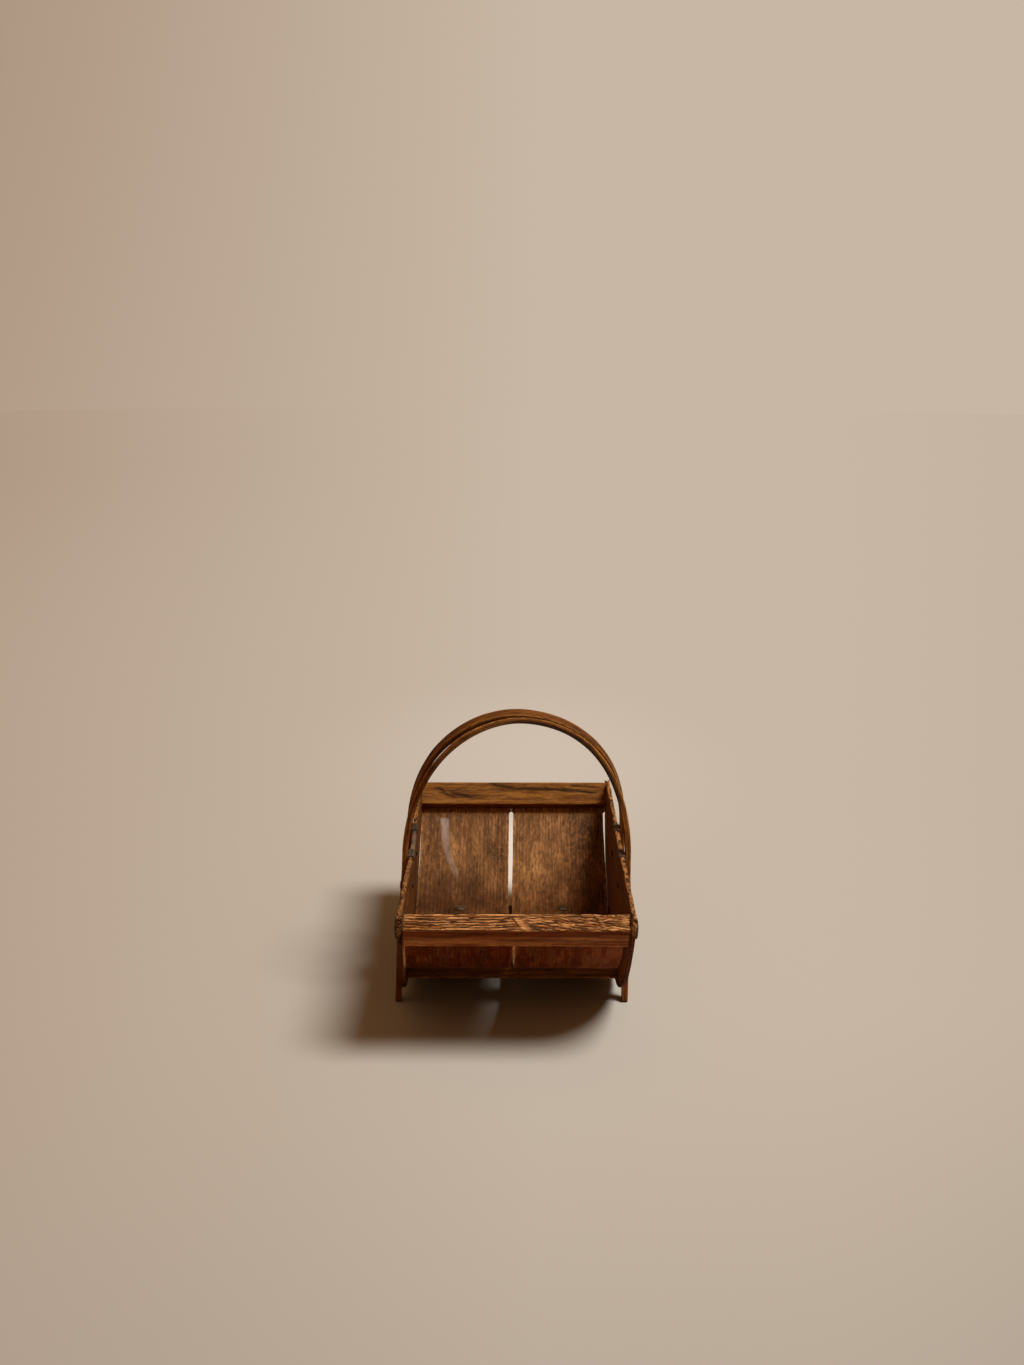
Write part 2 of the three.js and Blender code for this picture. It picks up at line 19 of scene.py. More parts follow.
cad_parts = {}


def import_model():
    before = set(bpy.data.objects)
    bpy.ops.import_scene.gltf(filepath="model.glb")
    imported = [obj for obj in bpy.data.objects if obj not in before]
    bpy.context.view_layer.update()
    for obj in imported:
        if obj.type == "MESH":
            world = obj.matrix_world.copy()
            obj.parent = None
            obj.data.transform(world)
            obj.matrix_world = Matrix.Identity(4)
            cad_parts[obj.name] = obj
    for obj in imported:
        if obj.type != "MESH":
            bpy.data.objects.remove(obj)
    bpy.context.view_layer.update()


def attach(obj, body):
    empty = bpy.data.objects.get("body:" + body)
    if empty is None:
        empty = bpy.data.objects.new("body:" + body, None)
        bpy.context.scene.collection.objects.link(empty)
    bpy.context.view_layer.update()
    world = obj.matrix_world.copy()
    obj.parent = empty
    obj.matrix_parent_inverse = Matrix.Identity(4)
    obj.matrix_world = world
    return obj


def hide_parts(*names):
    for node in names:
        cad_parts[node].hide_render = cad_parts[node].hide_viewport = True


LOG = logging.getLogger("trug")
IMAGE_WIDTH = 1024
BODY = "root"
PLACE = "wood"
MILLIMETRE = 0.001
TIP_RADIUS = 0.05
NOISE_CELLS = 256
Colour = tuple[float, float, float]
Array = np.ndarray
Row = tuple[float, ...]
Pair = tuple[float, float]
Profile = list[Pair]
Sockets = bpy.types.bpy_prop_collection
Socket = bpy.types.NodeSocket
Material = bpy.types.Material


class Slot(Enum):
    """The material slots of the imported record."""

    BOARD = "board_wood"
    PANEL = "panel_wood"
    HOOP = "hoop_wood"
    CLIP = "clip_metal"
    BOLT = "bolt_metal"

    @property
    def state(self) -> str:
        """How the names of its pieces start: metal is aged, and wood is worn."""
        return "aged" if self in (Slot.CLIP, Slot.BOLT) else "worn"


class Side(Enum):
    """The two sides of the trug."""

    LEFT = "left"
    RIGHT = "right"

    @property
    def sign(self) -> float:
        """The sign of x on this side."""
        return -1.0 if self is Side.LEFT else 1.0


class End(Enum):
    """The two ends of the trug, of which the front one is nearer to the camera."""

    FRONT = "front"
    BACK = "back"

    @property
    def sign(self) -> float:
        """The sign of y at this end."""
        return -1.0 if self is End.FRONT else 1.0


class Mask(Enum):
    """Masks from 0 to 1 that a surface carries and its finish reads; some carry painted light and shade."""

    WEAR = "wear"
    # Dark pits, crevices and figure, and also painted shade and shadow.
    DARK = "dark"
    # Bare, rubbed wood, and also painted highlights and painted light.
    BARE_AND_HIGHLIGHT = "bare"
    # A warm dark colour, mostly painted shade on faces turned away from the light.
    STAIN_AND_SHADE = "stain"
    # A pale scuff, and also a painted highlight on a panel edge lit through the middle gap.
    SCUFF_AND_HIGHLIGHT = "scuff"


def ramp(value: Array, low: float, high: float) -> Array:
    """Rise from 0 at low to 1 at high along 3t squared minus 2t cubed.

    Args:
        value: The numbers to map.
        low: Where the rise starts.
        high: Where it ends.

    Returns:
        The mapped numbers, from 0 to 1.
    """
    share = np.clip((np.asarray(value, float) - low) / (high - low), 0.0, 1.0)
    return share * share * (3.0 - 2.0 * share)


def fade(value: Array, low: float, high: float) -> Array:
    """Fall from 1 at low to 0 at high: one minus the smooth rise."""
    return 1 - ramp(value, low, high)


def hump(value: Array, middle: float, reach: float) -> Array:
    """Return the bell exp(-((value - middle) / reach) squared)."""
    return np.exp(-(((np.asarray(value, float) - middle) / reach) ** 2))


@dataclass(frozen=True)
class Spot:
    """A soft round patch: the product of a bell in u and a bell in v, times its strength."""

    u: float
    reach_u: float
    v: float
    reach_v: float
    strength: float = 1.0

    def at(self, u: Array, v: Array) -> Array:
        """Return the patch at u and v."""
        return self.strength * hump(u, self.u, self.reach_u) * hump(v, self.v, self.reach_v)


def unit(vectors: Array) -> Array:
    """Return the vectors divided by their lengths."""
    return vectors / np.maximum(np.linalg.norm(vectors, axis=-1, keepdims=True), 1e-12)


class Noise:
    """Seeded value noise: random values on whole numbers, blended by a smooth step between them."""

    def __init__(self, seed: int) -> None:
        """Fill the table of random values from a seed."""
        self._values = np.random.default_rng(seed).random((NOISE_CELLS, NOISE_CELLS))

    def at(self, x: Array, y: Array) -> Array:
        """Return the noise from 0 to 1 at x and y.

        Args:
            x: First coordinate, in cells.
            y: Second coordinate, in cells.

        Returns:
            One value for each pair.
        """
        x, y = np.broadcast_arrays(np.asarray(x, float), np.asarray(y, float))
        column, row = np.floor(x).astype(int), np.floor(y).astype(int)
        right, up = ramp(x - column, 0.0, 1.0), ramp(y - row, 0.0, 1.0)
        column, row = column % NOISE_CELLS, row % NOISE_CELLS
        next_column, next_row = (column + 1) % NOISE_CELLS, (row + 1) % NOISE_CELLS
        low = self._values[column, row] * (1 - right) + self._values[next_column, row] * right
        high = self._values[column, next_row] * (1 - right) + self._values[next_column, next_row] * right
        return low * (1 - up) + high * up

    def fractal(self, x: Array, y: Array, octaves: int = 4, gain: float = 0.5) -> Array:
        """Sum octaves of the noise, each twice as fine and gain times as strong.

        Args:
            x: First coordinate, in cells of the coarsest octave.
            y: Second coordinate, in cells of the coarsest octave.
            octaves: How many octaves are summed.
            gain: The strength of each octave against the one before.

        Returns:
            The weighted mean of the octaves, from 0 to 1.
        """
        total, weight, weights = 0.0, 1.0, 0.0
        for octave in range(octaves):
            scale = 2.0**octave
            total = total + weight * self.at(x * scale + 17.3 * octave, y * scale + 9.1 * octave)
            weights += weight
            weight *= gain
        return total / weights

    def crevices(self, x: Array, y: Array, sharpness: float = 4.0) -> Array:
        """Return thin winding lines: 1 where the fractal noise passes one half, falling off to each side."""
        level = self.fractal(x, y, 3, 0.5)
        return (1.0 - np.minimum(np.abs(level - 0.5) * 4.0, 1.0)) ** sharpness


@dataclass(frozen=True)
class Frame:
    """Sizes in millimetres that the sub-assemblies share with the solid model."""

    trough_width: float = 240.0
    rail_span: float = 510.0
    rail_height: float = 162.0
    rail_breadth: float = 30.0
    rail_thickness: float = 21.5
    rail_lean: float = math.radians(35.0)
    board_thickness: float = 5.5
    board_rise: float = 1.5
    board_overhang: float = 15.0
    panel_thickness: float = 4.5
    panel_height: float = 46.0
    groove_depth: float = 8.0
    groove_wall: float = 3.2
    groove_play: float = 0.3
    bend_before_bar: float = 39.5
    bar_inset: float = 171.0
    bar_thickness: float = 16.0
    seat_length: float = 19.0
    seat_gap: float = 0.1
    end_gap: float = 0.05
    clip_sheet: float = 0.8
    hoop_thickness: float = 6.9
    rack: float = 0.027
    rack_level: float = 96.0
    bow_left: float = 3.0
    bow_right: float = 0.6
    bow_middle: float = -22.0
    bow_reach: float = 105.0
    bow_from: float = 55.0
    bow_to: float = 158.0

    @property
    def half_width(self) -> float:
        """Half the width between the boards."""
        return self.trough_width / 2

    @property
    def board_outer(self) -> float:
        """How far the boards' outer faces stand from the middle."""
        return self.half_width + self.board_thickness

    @property
    def board_top(self) -> float:
        """The height of the boards' top edges."""
        return self.rail_height + self.board_rise

    @property
    def leg_x(self) -> float:
        """How far the middle of a leg stands from the middle of the trug."""
        return self.board_outer + 2 * self.seat_gap + self.clip_sheet + self.hoop_thickness / 2

    @property
    def groove_width(self) -> float:
        """The width of the groove in a rail."""
        return self.panel_thickness + 2 * self.groove_play

    @property
    def groove_outward(self) -> float:
        """How far the middle of the groove lies from a rail's inner face."""
        return self.rail_thickness - self.groove_wall - self.groove_width / 2

    @property
    def bar_distance(self) -> float:
        """How far from the middle a panel meets its bar."""
        return self.rail_span / 2 - self.bar_inset

    def on_rail(self, outward: Array, upward: Array) -> tuple[Array, Array]:
        """Turn a place in the back rail's section into y and z.

        Args:
            outward: Distance from the upper inner edge across the rail's thickness.
            upward: Distance from that edge along its breadth, negative downwards.

        Returns:
            The y and z of the place.
        """
        cosine, sine = math.cos(self.rail_lean), math.sin(self.rail_lean)
        y = self.rail_span / 2 + outward * cosine + upward * sine
        return y, self.rail_height - outward * sine + upward * cosine

    @property
    def bend(self) -> tuple[float, float, float, float]:
        """The panels' bend: y and z of its centre, its radius and its sweep.

        The arc leaves the level bottom and rises to the groove's mouth, so its sweep is twice the angle
        of the chord, and its radius is the chord's run over the sine of the sweep.
        """
        start_y = self.bar_distance - self.bend_before_bar
        start_z = self.panel_height - self.panel_thickness / 2
        end_y, end_z = self.on_rail(self.groove_outward, -self.rail_breadth)
        sweep = 2 * math.atan2(end_z - start_z, end_y - start_y)
        radius = (end_y - start_y) / math.sin(sweep)
        return start_y, start_z + radius, radius, sweep

    @property
    def bar_angle(self) -> float:
        """How far the bars and the seats of the panels are tilted."""
        centre_y, _, radius, _ = self.bend
        return math.asin((self.bar_distance - centre_y) / radius)

    def on_bend(self, angle: Array, radius: float) -> tuple[Array, Array]:
        """Return y and z of the point of the back bend at an angle from the vertical."""
        centre_y, centre_z, _, _ = self.bend
        return centre_y + radius * np.sin(angle), centre_z - radius * np.cos(angle)

    @property
    def seat_radius(self) -> float:
        """The distance of the straight seat from the bend's centre."""
        radius = self.bend[2]
        return radius * math.cos(math.asin(self.seat_length / 2 / radius))

    @property
    def bar_middle(self) -> Pair:
        """Y and z of the middle of the back bar."""
        drop = self.panel_thickness / 2 + self.seat_gap + self.bar_thickness / 2
        y, z = self.on_bend(self.bar_angle, self.seat_radius + drop)
        return float(y), float(z)

    def bow_share(self, height: Array) -> Array:
        """Return the share of the bow at a height: a smooth rise from the bars to near the top edge."""
        return ramp(height, self.bow_from, self.bow_to)

    def bow(self, points: Array) -> Array:
        """Return how far a board and what is fixed to it have bowed, along x and towards the middle.

        The bow is its depth on that side, times a bell along the trough, times its share at the height.

        Args:
            points: Points of the square trug, in millimetres.

        Returns:
            What the bow adds to each point's x.
        """
        side = np.sign(points[..., 0])
        depth = np.where(side < 0, self.bow_left, self.bow_right)
        along = hump(points[..., 1], self.bow_middle, self.bow_reach)
        return -side * depth * along * self.bow_share(points[..., 2])

    def settled(self, points: Array, bowed: bool = False) -> Array:
        """Bow and rack points of the square trug and turn them into metres.

        Racking moves a point to the right by its height over the rack level, times the rack.

        Args:
            points: Points in millimetres.
            bowed: Whether they follow the boards' bow.

        Returns:
            The points in metres.
        """
        placed = np.array(points, float)
        if bowed:
            placed[..., 0] += self.bow(placed)
        placed[..., 0] += self.rack * (placed[..., 2] - self.rack_level)
        return placed * MILLIMETRE


FRAME = Frame()


@dataclass
class Surface:
    """A closed grid of points: rows along a path, columns around a loop, both ends closed by a face.

    Points and wood are in millimetres. Wood holds each point's place in its own plank: along the grain,
    across it and through its thickness. The marks are masks from 0 to 1 that the finishes read.
    """

    points: Array
    wood: Array
    wear: Array
    marks: dict[Mask, Array] = field(default_factory=dict)

    def __post_init__(self) -> None:
        """Give every point its wear."""
        self.wear = np.broadcast_to(self.wear, self.points.shape[:2]).copy()

    def parts(self) -> tuple[Array, Array, Array]:
        """Return copies of the points' three coordinates."""
        x, y, z = (self.points[..., axis].copy() for axis in range(3))
        return x, y, z

    def normals(self) -> Array:
        """Return outward normals: the cross product of the steps along the path and around the loop.

        Returns:
            A unit vector for each point.
        """
        along = np.gradient(self.points, axis=0)
        around = np.roll(self.points, -1, axis=1) - np.roll(self.points, 1, axis=1)
        normal = unit(np.cross(along, around))
        centre = self.points.mean(axis=1, keepdims=True)
        outward = np.sign(np.sum(normal * (self.points - centre), axis=-1).sum()) or 1.0
        return normal * outward

    def carve(self, depth: Array) -> None:
        """Sink the points along the normals by depths in millimetres."""
        self.points = self.points - self.normals() * depth[..., None]

    def mark(self, mask: Mask, value: Array) -> None:
        """Keep the larger of what a mask already holds and a new value."""
        fresh = np.clip(np.broadcast_to(value, self.wear.shape), 0.0, 1.0)
        self.marks[mask] = np.maximum(self.marks.get(mask, 0.0), fresh)


def parabola(t: Array, start: Array, corner: Array, end: Array) -> Array:
    """Return (1-t) squared times the start, plus 2t(1-t) times the corner, plus t squared times the end."""
    return (1 - t) ** 2 * start + 2 * t * (1 - t) * corner + t**2 * end


@dataclass(frozen=True)
class Corner:
    """A corner of a section: its place and the radius of its rounding."""

    x: float
    y: float
    radius: float = 0.0


@dataclass(frozen=True)
class Loop:
    """A section outline: its points and how near each is to an exposed edge."""

    points: Array
    wear: Array


def section_loop(corners: list[Corner], spacing: float = 1.0, arc_steps: int = 6, reach: float = 2.2) -> Loop:
    """Walk round a polygon whose corners are rounded by parabolas tangent to both sides.

    Wear falls off from each rounded corner as a bell of the distance.

    Args:
        corners: The polygon's corners in order.
        spacing: The distance between points on the straight sides.
        arc_steps: The steps of each rounding.
        reach: The reach of the wear from a corner, in millimetres.

    Returns:
        The outline's points and wear.
    """
    places = np.array([[corner.x, corner.y] for corner in corners])
    pieces: list[Array] = []
    for index, corner in enumerate(corners):
        before, after = places[index - 1], places[(index + 1) % len(corners)]
        here = places[index]
        start = here + unit(before - here) * corner.radius
        end = here + unit(after - here) * corner.radius
        if corner.radius > 0:
            t = np.linspace(0.0, 1.0, arc_steps + 1)[:, None]
            pieces.append(parabola(t, start, here, end))
        else:
            pieces.append(here[None, :])
        following = corners[(index + 1) % len(corners)]
        target = after + unit(here - after) * following.radius
        steps = max(int(np.linalg.norm(target - end) / spacing), 1)
        pieces.append(end + (target - end) * (np.arange(1, steps) / steps)[:, None])
    points = np.concatenate(pieces)
    rounded = np.array([[c.x, c.y] for c in corners if c.radius > 0])
    gap = np.linalg.norm(points[:, None, :] - rounded[None, :, :], axis=-1).min(axis=1)
    return Loop(points, hump(gap, 0.0, reach))


def plank_places(along: Array, across: Array, through: Array, offset: float, shares: Pair) -> Array:
    """Stack each point's place in its plank, moved so that no two planks share a pattern.

    Args:
        along: The place along the grain.
        across: The place across it.
        through: The place through the thickness.
        offset: What is added along the grain.
        shares: The shares of the offset that are added across and through.

    Returns:
        The places, in millimetres.
    """
    moved = (along + offset, across + offset * shares[0], through + offset * shares[1])
    return np.stack(np.broadcast_arrays(*moved), axis=-1)


def box_loop(width: float, height: float, radius: float, spacing: float = 1.0) -> Loop:
    """Return the outline of a rectangle about the origin with four equal roundings."""
    x, y = width / 2, height / 2
    corners = [Corner(-x, -y, radius), Corner(x, -y, radius), Corner(x, y, radius), Corner(-x, y, radius)]
    return section_loop(corners, spacing)


def resampled(path: Array, spacing: float) -> Array:
    """Place points along a polyline at equal steps of its length.

    Args:
        path: The polyline's points.
        spacing: The distance that the steps come close to.

    Returns:
        The new points, the first and last of which are the polyline's own.
    """
    length = path_length(path)
    count = max(int(length[-1] / spacing), 2) + 1
    wanted = np.linspace(0.0, length[-1], count)
    return np.stack([np.interp(wanted, length, path[:, axis]) for axis in range(path.shape[1])], axis=1)


def path_length(path: Array) -> Array:
    """Return the length along a polyline at each of its points."""
    return np.concatenate([[0.0], np.cumsum(np.linalg.norm(np.diff(path, axis=0), axis=1))])


def straight_bar(loop: Loop, half_length: float, spacing: float, offset: float) -> Surface:
    """Carry a section along x: point (i, j) lies at (x of i, loop point j).

    Args:
        loop: The section, whose x is kept as y and whose y as z.
        half_length: Half the bar's length.
        spacing: The distance between sections.
        offset: What is added to the wood's places.

    Returns:
        The surface, with its grain along x.
    """
    end_reach, end_wear = 1.5, 0.4
    count = int(2 * half_length / spacing) + 1
    x = np.linspace(-half_length, half_length, count)[:, None]
    y, z = loop.points[None, :, 0], loop.points[None, :, 1]
    points = np.stack(np.broadcast_arrays(x, y, z), axis=-1).astype(float)
    ends = hump(np.abs(x), half_length, end_reach)
    wood = plank_places(*np.moveaxis(points, -1, 0), offset, (0.37, 0.21))
    return Surface(points, wood, np.maximum(loop.wear, ends * end_wear))


def in_scene(name: str, data: bpy.types.ID) -> bpy.types.Object:
    """Make an object of a mesh, lamp or camera and link it to the scene."""
    made = bpy.data.objects.new(name, data)
    bpy.context.scene.collection.objects.link(made)
    return made


def mesh_piece(node: str, surface: Surface, material: Material, slot: Slot, bowed: bool = False) -> None:
    """Make a mesh object of a surface, which stands for a solid of the frame.

    Quads join neighbouring rows and columns, and one face closes each end. The faces are turned round
    if the volume that they enclose comes out negative. That volume is a sum over the faces' corners: each
    one times the cross product of the two that follow.

    Args:
        node: The solid that it replaces, from which it also has its name.
        surface: The surface, in millimetres of the square trug.
        material: Its finish.
        slot: The record's slot of that finish.
        bowed: Whether it follows the boards' bow.
    """
    name = f"{slot.state}_{node}"
    rows, columns = surface.points.shape[:2]
    vertices = FRAME.settled(surface.points, bowed).reshape(-1, 3)
    grid = np.arange(rows * columns).reshape(rows, columns)
    beside = np.roll(grid, -1, axis=1)
    quads = np.stack([grid[:-1], grid[1:], beside[1:], beside[:-1]], axis=-1).reshape(-1, 4)
    first, last = grid[0], grid[-1][::-1]
    corners = vertices[quads]
    volume = np.sum(corners[:, 0] * np.cross(corners[:, 1], corners[:, 2]))
    volume += np.sum(corners[:, 0] * np.cross(corners[:, 2], corners[:, 3]))
    for ring in (first, last):
        edge = vertices[ring]
        centre = edge.mean(axis=0)
        volume += np.sum(centre * np.cross(edge, np.roll(edge, -1, axis=0)))
    if volume < 0:
        quads, first, last = quads[:, ::-1], first[::-1], last[::-1]
    loops = np.concatenate([quads.ravel(), first, last]).astype(np.int32)
    sizes = np.concatenate([np.full(len(quads), 4), [columns, columns]]).astype(np.int32)
    starts = np.concatenate([[0], np.cumsum(sizes)[:-1]]).astype(np.int32)
    mesh = bpy.data.meshes.new(name)
    mesh.vertices.add(len(vertices))
    mesh.vertices.foreach_set("co", vertices.astype(np.float32).ravel())
    mesh.loops.add(len(loops))
    mesh.loops.foreach_set("vertex_index", loops)
    mesh.polygons.add(len(sizes))
    mesh.polygons.foreach_set("loop_start", starts)
    mesh.polygons.foreach_set("loop_total", sizes)
    smooth = np.ones(len(sizes), bool)
    smooth[-2:] = False
    mesh.update(calc_edges=True)
    mesh.polygons.foreach_set("use_smooth", smooth)
    wood = mesh.attributes.new(PLACE, "FLOAT_VECTOR", "POINT")
    wood.data.foreach_set("vector", (surface.wood.reshape(-1, 3) * MILLIMETRE).astype(np.float32).ravel())
    masks = {Mask.WEAR: surface.wear, **surface.marks}
    for mask in Mask:
        layer = mesh.attributes.new(mask.value, "FLOAT", "POINT")
        values = np.broadcast_to(masks.get(mask, 0.0), (rows, columns))
        layer.data.foreach_set("value", values.astype(np.float32).ravel())
    mesh.validate()
    mesh.materials.append(material)
    piece = in_scene(name, mesh)
    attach(piece, BODY)
    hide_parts(node)
    LOG.info("%s: %d faces for %s", name, len(sizes), node)


@dataclass
class SideBoards:
    """The two thin boat-shaped boards, with straight top edges, round bellies and steep ends."""

    floor_gap: float = 8.5
    bottom_flat: float = 38.0
    end_length: float = 17.0
    end_height: float = 41.0
    corner: float = 10.0
    edge: float = 1.7
    wear_reach: float = 2.2
    spacing: float = 1.38

    def outline(self) -> tuple[Array, Array]:
        """Return the lower outline from front corner to back corner, and the upper one, in y and z.

        The belly is an arc that leaves the flat bottom and meets the end curve. The end curve and the
        corner are parabolas. The upper outline follows the corner and the straight top edge, and each of
        its points stands over the lower point with the same y.

        Returns:
            The points of the lower outline and those of the upper one.
        """
        half = FRAME.rail_span / 2 + FRAME.board_overhang
        top = FRAME.board_top
        belly_end, belly_top = half - self.end_length, top - self.end_height
        sweep = 2 * math.atan2(belly_top - self.floor_gap, belly_end - self.bottom_flat / 2)
        radius = (belly_end - self.bottom_flat / 2) / math.sin(sweep)
        angle = np.linspace(0.0, sweep, 60)
        arc_y = self.bottom_flat / 2 + radius * np.sin(angle)
        arc = np.stack([arc_y, self.floor_gap + radius * (1 - np.cos(angle))], axis=1)
        t = np.linspace(0.0, 1.0, 24)[1:, None]
        bow = np.array([half, belly_top + self.end_length * math.tan(sweep)])
        start, finish = np.array([half, top - self.corner]), np.array([half - self.corner, top])
        rise = parabola(t, arc[-1], bow, start)
        turn = parabola(t, start, np.array([half, top]), finish)
        lower = np.concatenate([[[0.0, self.floor_gap]], arc, rise, turn[: len(turn) // 2]])
        lower = resampled(lower, self.spacing)
        upper_curve = np.concatenate([[[0.0, top]], turn[len(turn) // 2 - 1 :][::-1]])
        upper = np.stack([lower[:, 0], np.interp(lower[:, 0], upper_curve[:, 0], upper_curve[:, 1])], axis=1)
        upper[-1] = lower[-1]
        mirrored = np.array([-1.0, 1.0])
        return (
            np.concatenate([lower[:0:-1] * mirrored, lower]),
            np.concatenate([upper[:0:-1] * mirrored, upper]),
        )

    def surface(self, side: Side, offset: float) -> Surface:
        """Join the outlines into a thin slab.

        Around each cross-section the surface runs up the inner face, over a rounded top edge, down the
        outer face and round the lower edge. A rounding's depth from the outline is its radius times
        one minus the sine of its angle, and its width is the radius times the cosine. The slab thins to
        its two ends, where it is lower than three millimetres.

        Args:
            side: The side that the board is on.
            offset: What is added to the wood's places.

        Returns:
            The board's surface.
        """
        lower, upper = self.outline()
        slope_low, slope_up = unit(np.gradient(lower, axis=0)), unit(np.gradient(upper, axis=0))
        inward_low = np.stack([-slope_low[:, 1], slope_low[:, 0]], axis=1)
        inward_up = np.stack([slope_up[:, 1], -slope_up[:, 0]], axis=1)
        height = np.linalg.norm(upper - lower, axis=1)
        room = np.minimum(height / 2, self.edge)[:, None, None]
        half = FRAME.board_thickness / 2
        round_steps, face_steps, thinning = 6, 90, 3.0
        angle = np.linspace(0.0, math.pi / 2, round_steps)
        share = np.linspace(0.0, 1.0, face_steps)[1:-1]
        quarter_depth, quarter_width = 1 - np.sin(angle), np.cos(angle)
        low_in = lower[:, None] + inward_low[:, None] * room * quarter_depth[::-1, None]
        up_in = upper[:, None] + inward_up[:, None] * room * quarter_depth[:, None]
        face = low_in[:, -1:] + (up_in[:, :1] - low_in[:, -1:]) * share[:, None]
        rise = np.concatenate([low_in, face, up_in], axis=1)
        flat = half - room[:, 0]
        low_x = flat + room[:, 0] * quarter_width[::-1]
        up_x = flat + room[:, 0] * quarter_width
        x = np.concatenate([low_x, np.full((len(lower), len(share)), half), up_x], axis=1)
        x = x * np.sqrt(np.clip(height / thinning, 0.02, 1.0))[:, None]
        y = np.concatenate([rise[..., 0], rise[:, ::-1, 0]], axis=1)
        z = np.concatenate([rise[..., 1], rise[:, ::-1, 1]], axis=1)
        across = np.concatenate([-x, x[:, ::-1]], axis=1)
        points = np.stack([side.sign * (FRAME.half_width + half + across), y, z], axis=-1)
        steps = points.shape[1]
        near = np.concatenate([np.arange(steps // 2), np.arange(steps // 2)[::-1]])
        rows_from_edge = np.minimum(near, steps // 2 - 1 - near)
        span = height[:, None] / len(share) * np.maximum(rows_from_edge - (round_steps - 1), 0)
        wear = hump(span, 0.0, self.wear_reach)
        surface = Surface(points, plank_places(y, z, across, offset, (0.4, 0.2)), wear)
        self._weather(surface, side)
        return surface

    def _weather(self, surface: Surface, side: Side) -> None:
        """Pit the worn edges, cut shallow crevices along the grain and darken them.

        The front half of the top edge is worn like a rope: slanting dents follow one another as a cosine
        of the way along it. Between the clips the left board's edge is duller. The lower edges get painted
        shade, warm and dark, most of all at the front.

        Args:
            surface: The board.
            side: The side that it is on.
        """
        left = side is Side.LEFT
        noise = Noise(11 if left else 12)
        y, z = surface.points[..., 1], surface.points[..., 2]
        top, half = FRAME.board_top, FRAME.board_thickness / 2
        across = side.sign * surface.points[..., 0] - FRAME.half_width - half
        run = y + z - top
        slant, dent_spacing = 1.6, 8.5
        turns = (run + slant * across) / dent_spacing + 1.3 * noise.at(run / 26, 1)
        twisted = np.cos(2 * math.pi * turns)
        rope = ramp(twisted + 0.9 * (noise.fractal(y / 4, across / 2, 2) - 0.5), 0.35, 0.95)
        pits = ramp(noise.fractal(y / 9, (z + across) / 1.7, 3), 0.5, 0.62)
        pits = np.maximum(pits, rope * ramp(-y, 50, 75) * (1 if left else 0.6))
        lines = noise.crevices(y / 34, z / 3.2)
        surface.carve(surface.wear * (0.25 + 0.55 * pits) * 0.7 + 0.16 * lines * (1 - surface.wear))
        surface.mark(Mask.DARK, 0.75 * lines * ramp(noise.at(y / 60, z / 25), 0.35, 0.8))
        front_end = ramp(-y, 240, 255) * ramp(z, 112, 130)
        rubbed = surface.wear * np.maximum(ramp(z, top - 8, top - 3), front_end)
        surface.mark(Mask.DARK, pits * rubbed)
        past_clip = ramp(y, -48, -40)
        between = past_clip * fade(y, 38, 60)
        dull = np.maximum(between, 0.72 * past_clip) if left else 0.0
        surface.mark(Mask.DARK, 0.55 * dull * between * rubbed)
        broken = ramp(noise.fractal(y / 12, z / 2, 2), 0.3, 0.6)
        surface.mark(Mask.BARE_AND_HIGHLIGHT, 0.9 * (1 - pits) * rubbed * broken * (1 - dull))
        inner = ramp(-across, half - 0.8, half - 0.1)
        lit_strip = Spot(-188, 30, 84, 30).at(y, z) if left else 0.2
        surface.mark(Mask.BARE_AND_HIGHLIGHT, inner * lit_strip)
        if not left:
            rope_crests = ramp(twisted, -0.2, 0.7)
            surface.mark(Mask.BARE_AND_HIGHLIGHT, 0.5 * surface.wear * ramp(-y, 190, 230) * rope_crests)
        # Painted shade: the lower edges take a warm dark colour, and darken more towards the front.
        below = fade(z, top - 26, top - 12)
        surface.mark(Mask.STAIN_AND_SHADE, 0.75 * below * surface.wear)
        surface.mark(Mask.DARK, (0.2 if left else 0.4) * below * surface.wear * ramp(-y, 120, 180))
        surface.mark(Mask.SCUFF_AND_HIGHLIGHT, 0.3 * dull * between * rubbed)
        surface.wear = surface.wear * ramp(z, top - 60, top - 5)

    def build(self, finish: Material) -> None:
        """Make both boards."""
        for index, side in enumerate(Side):
            surface = self.surface(side, 310.0 * (index + 1))
            mesh_piece(f"side_board_{side.value}", surface, finish, Slot.BOARD, bowed=True)


@dataclass(frozen=True)
class Flame:
    """A dark flame of figure: it runs from start to finish, and from high to low across the rail."""

    start: float
    finish: float
    high: float
    low: float
    breadth: float


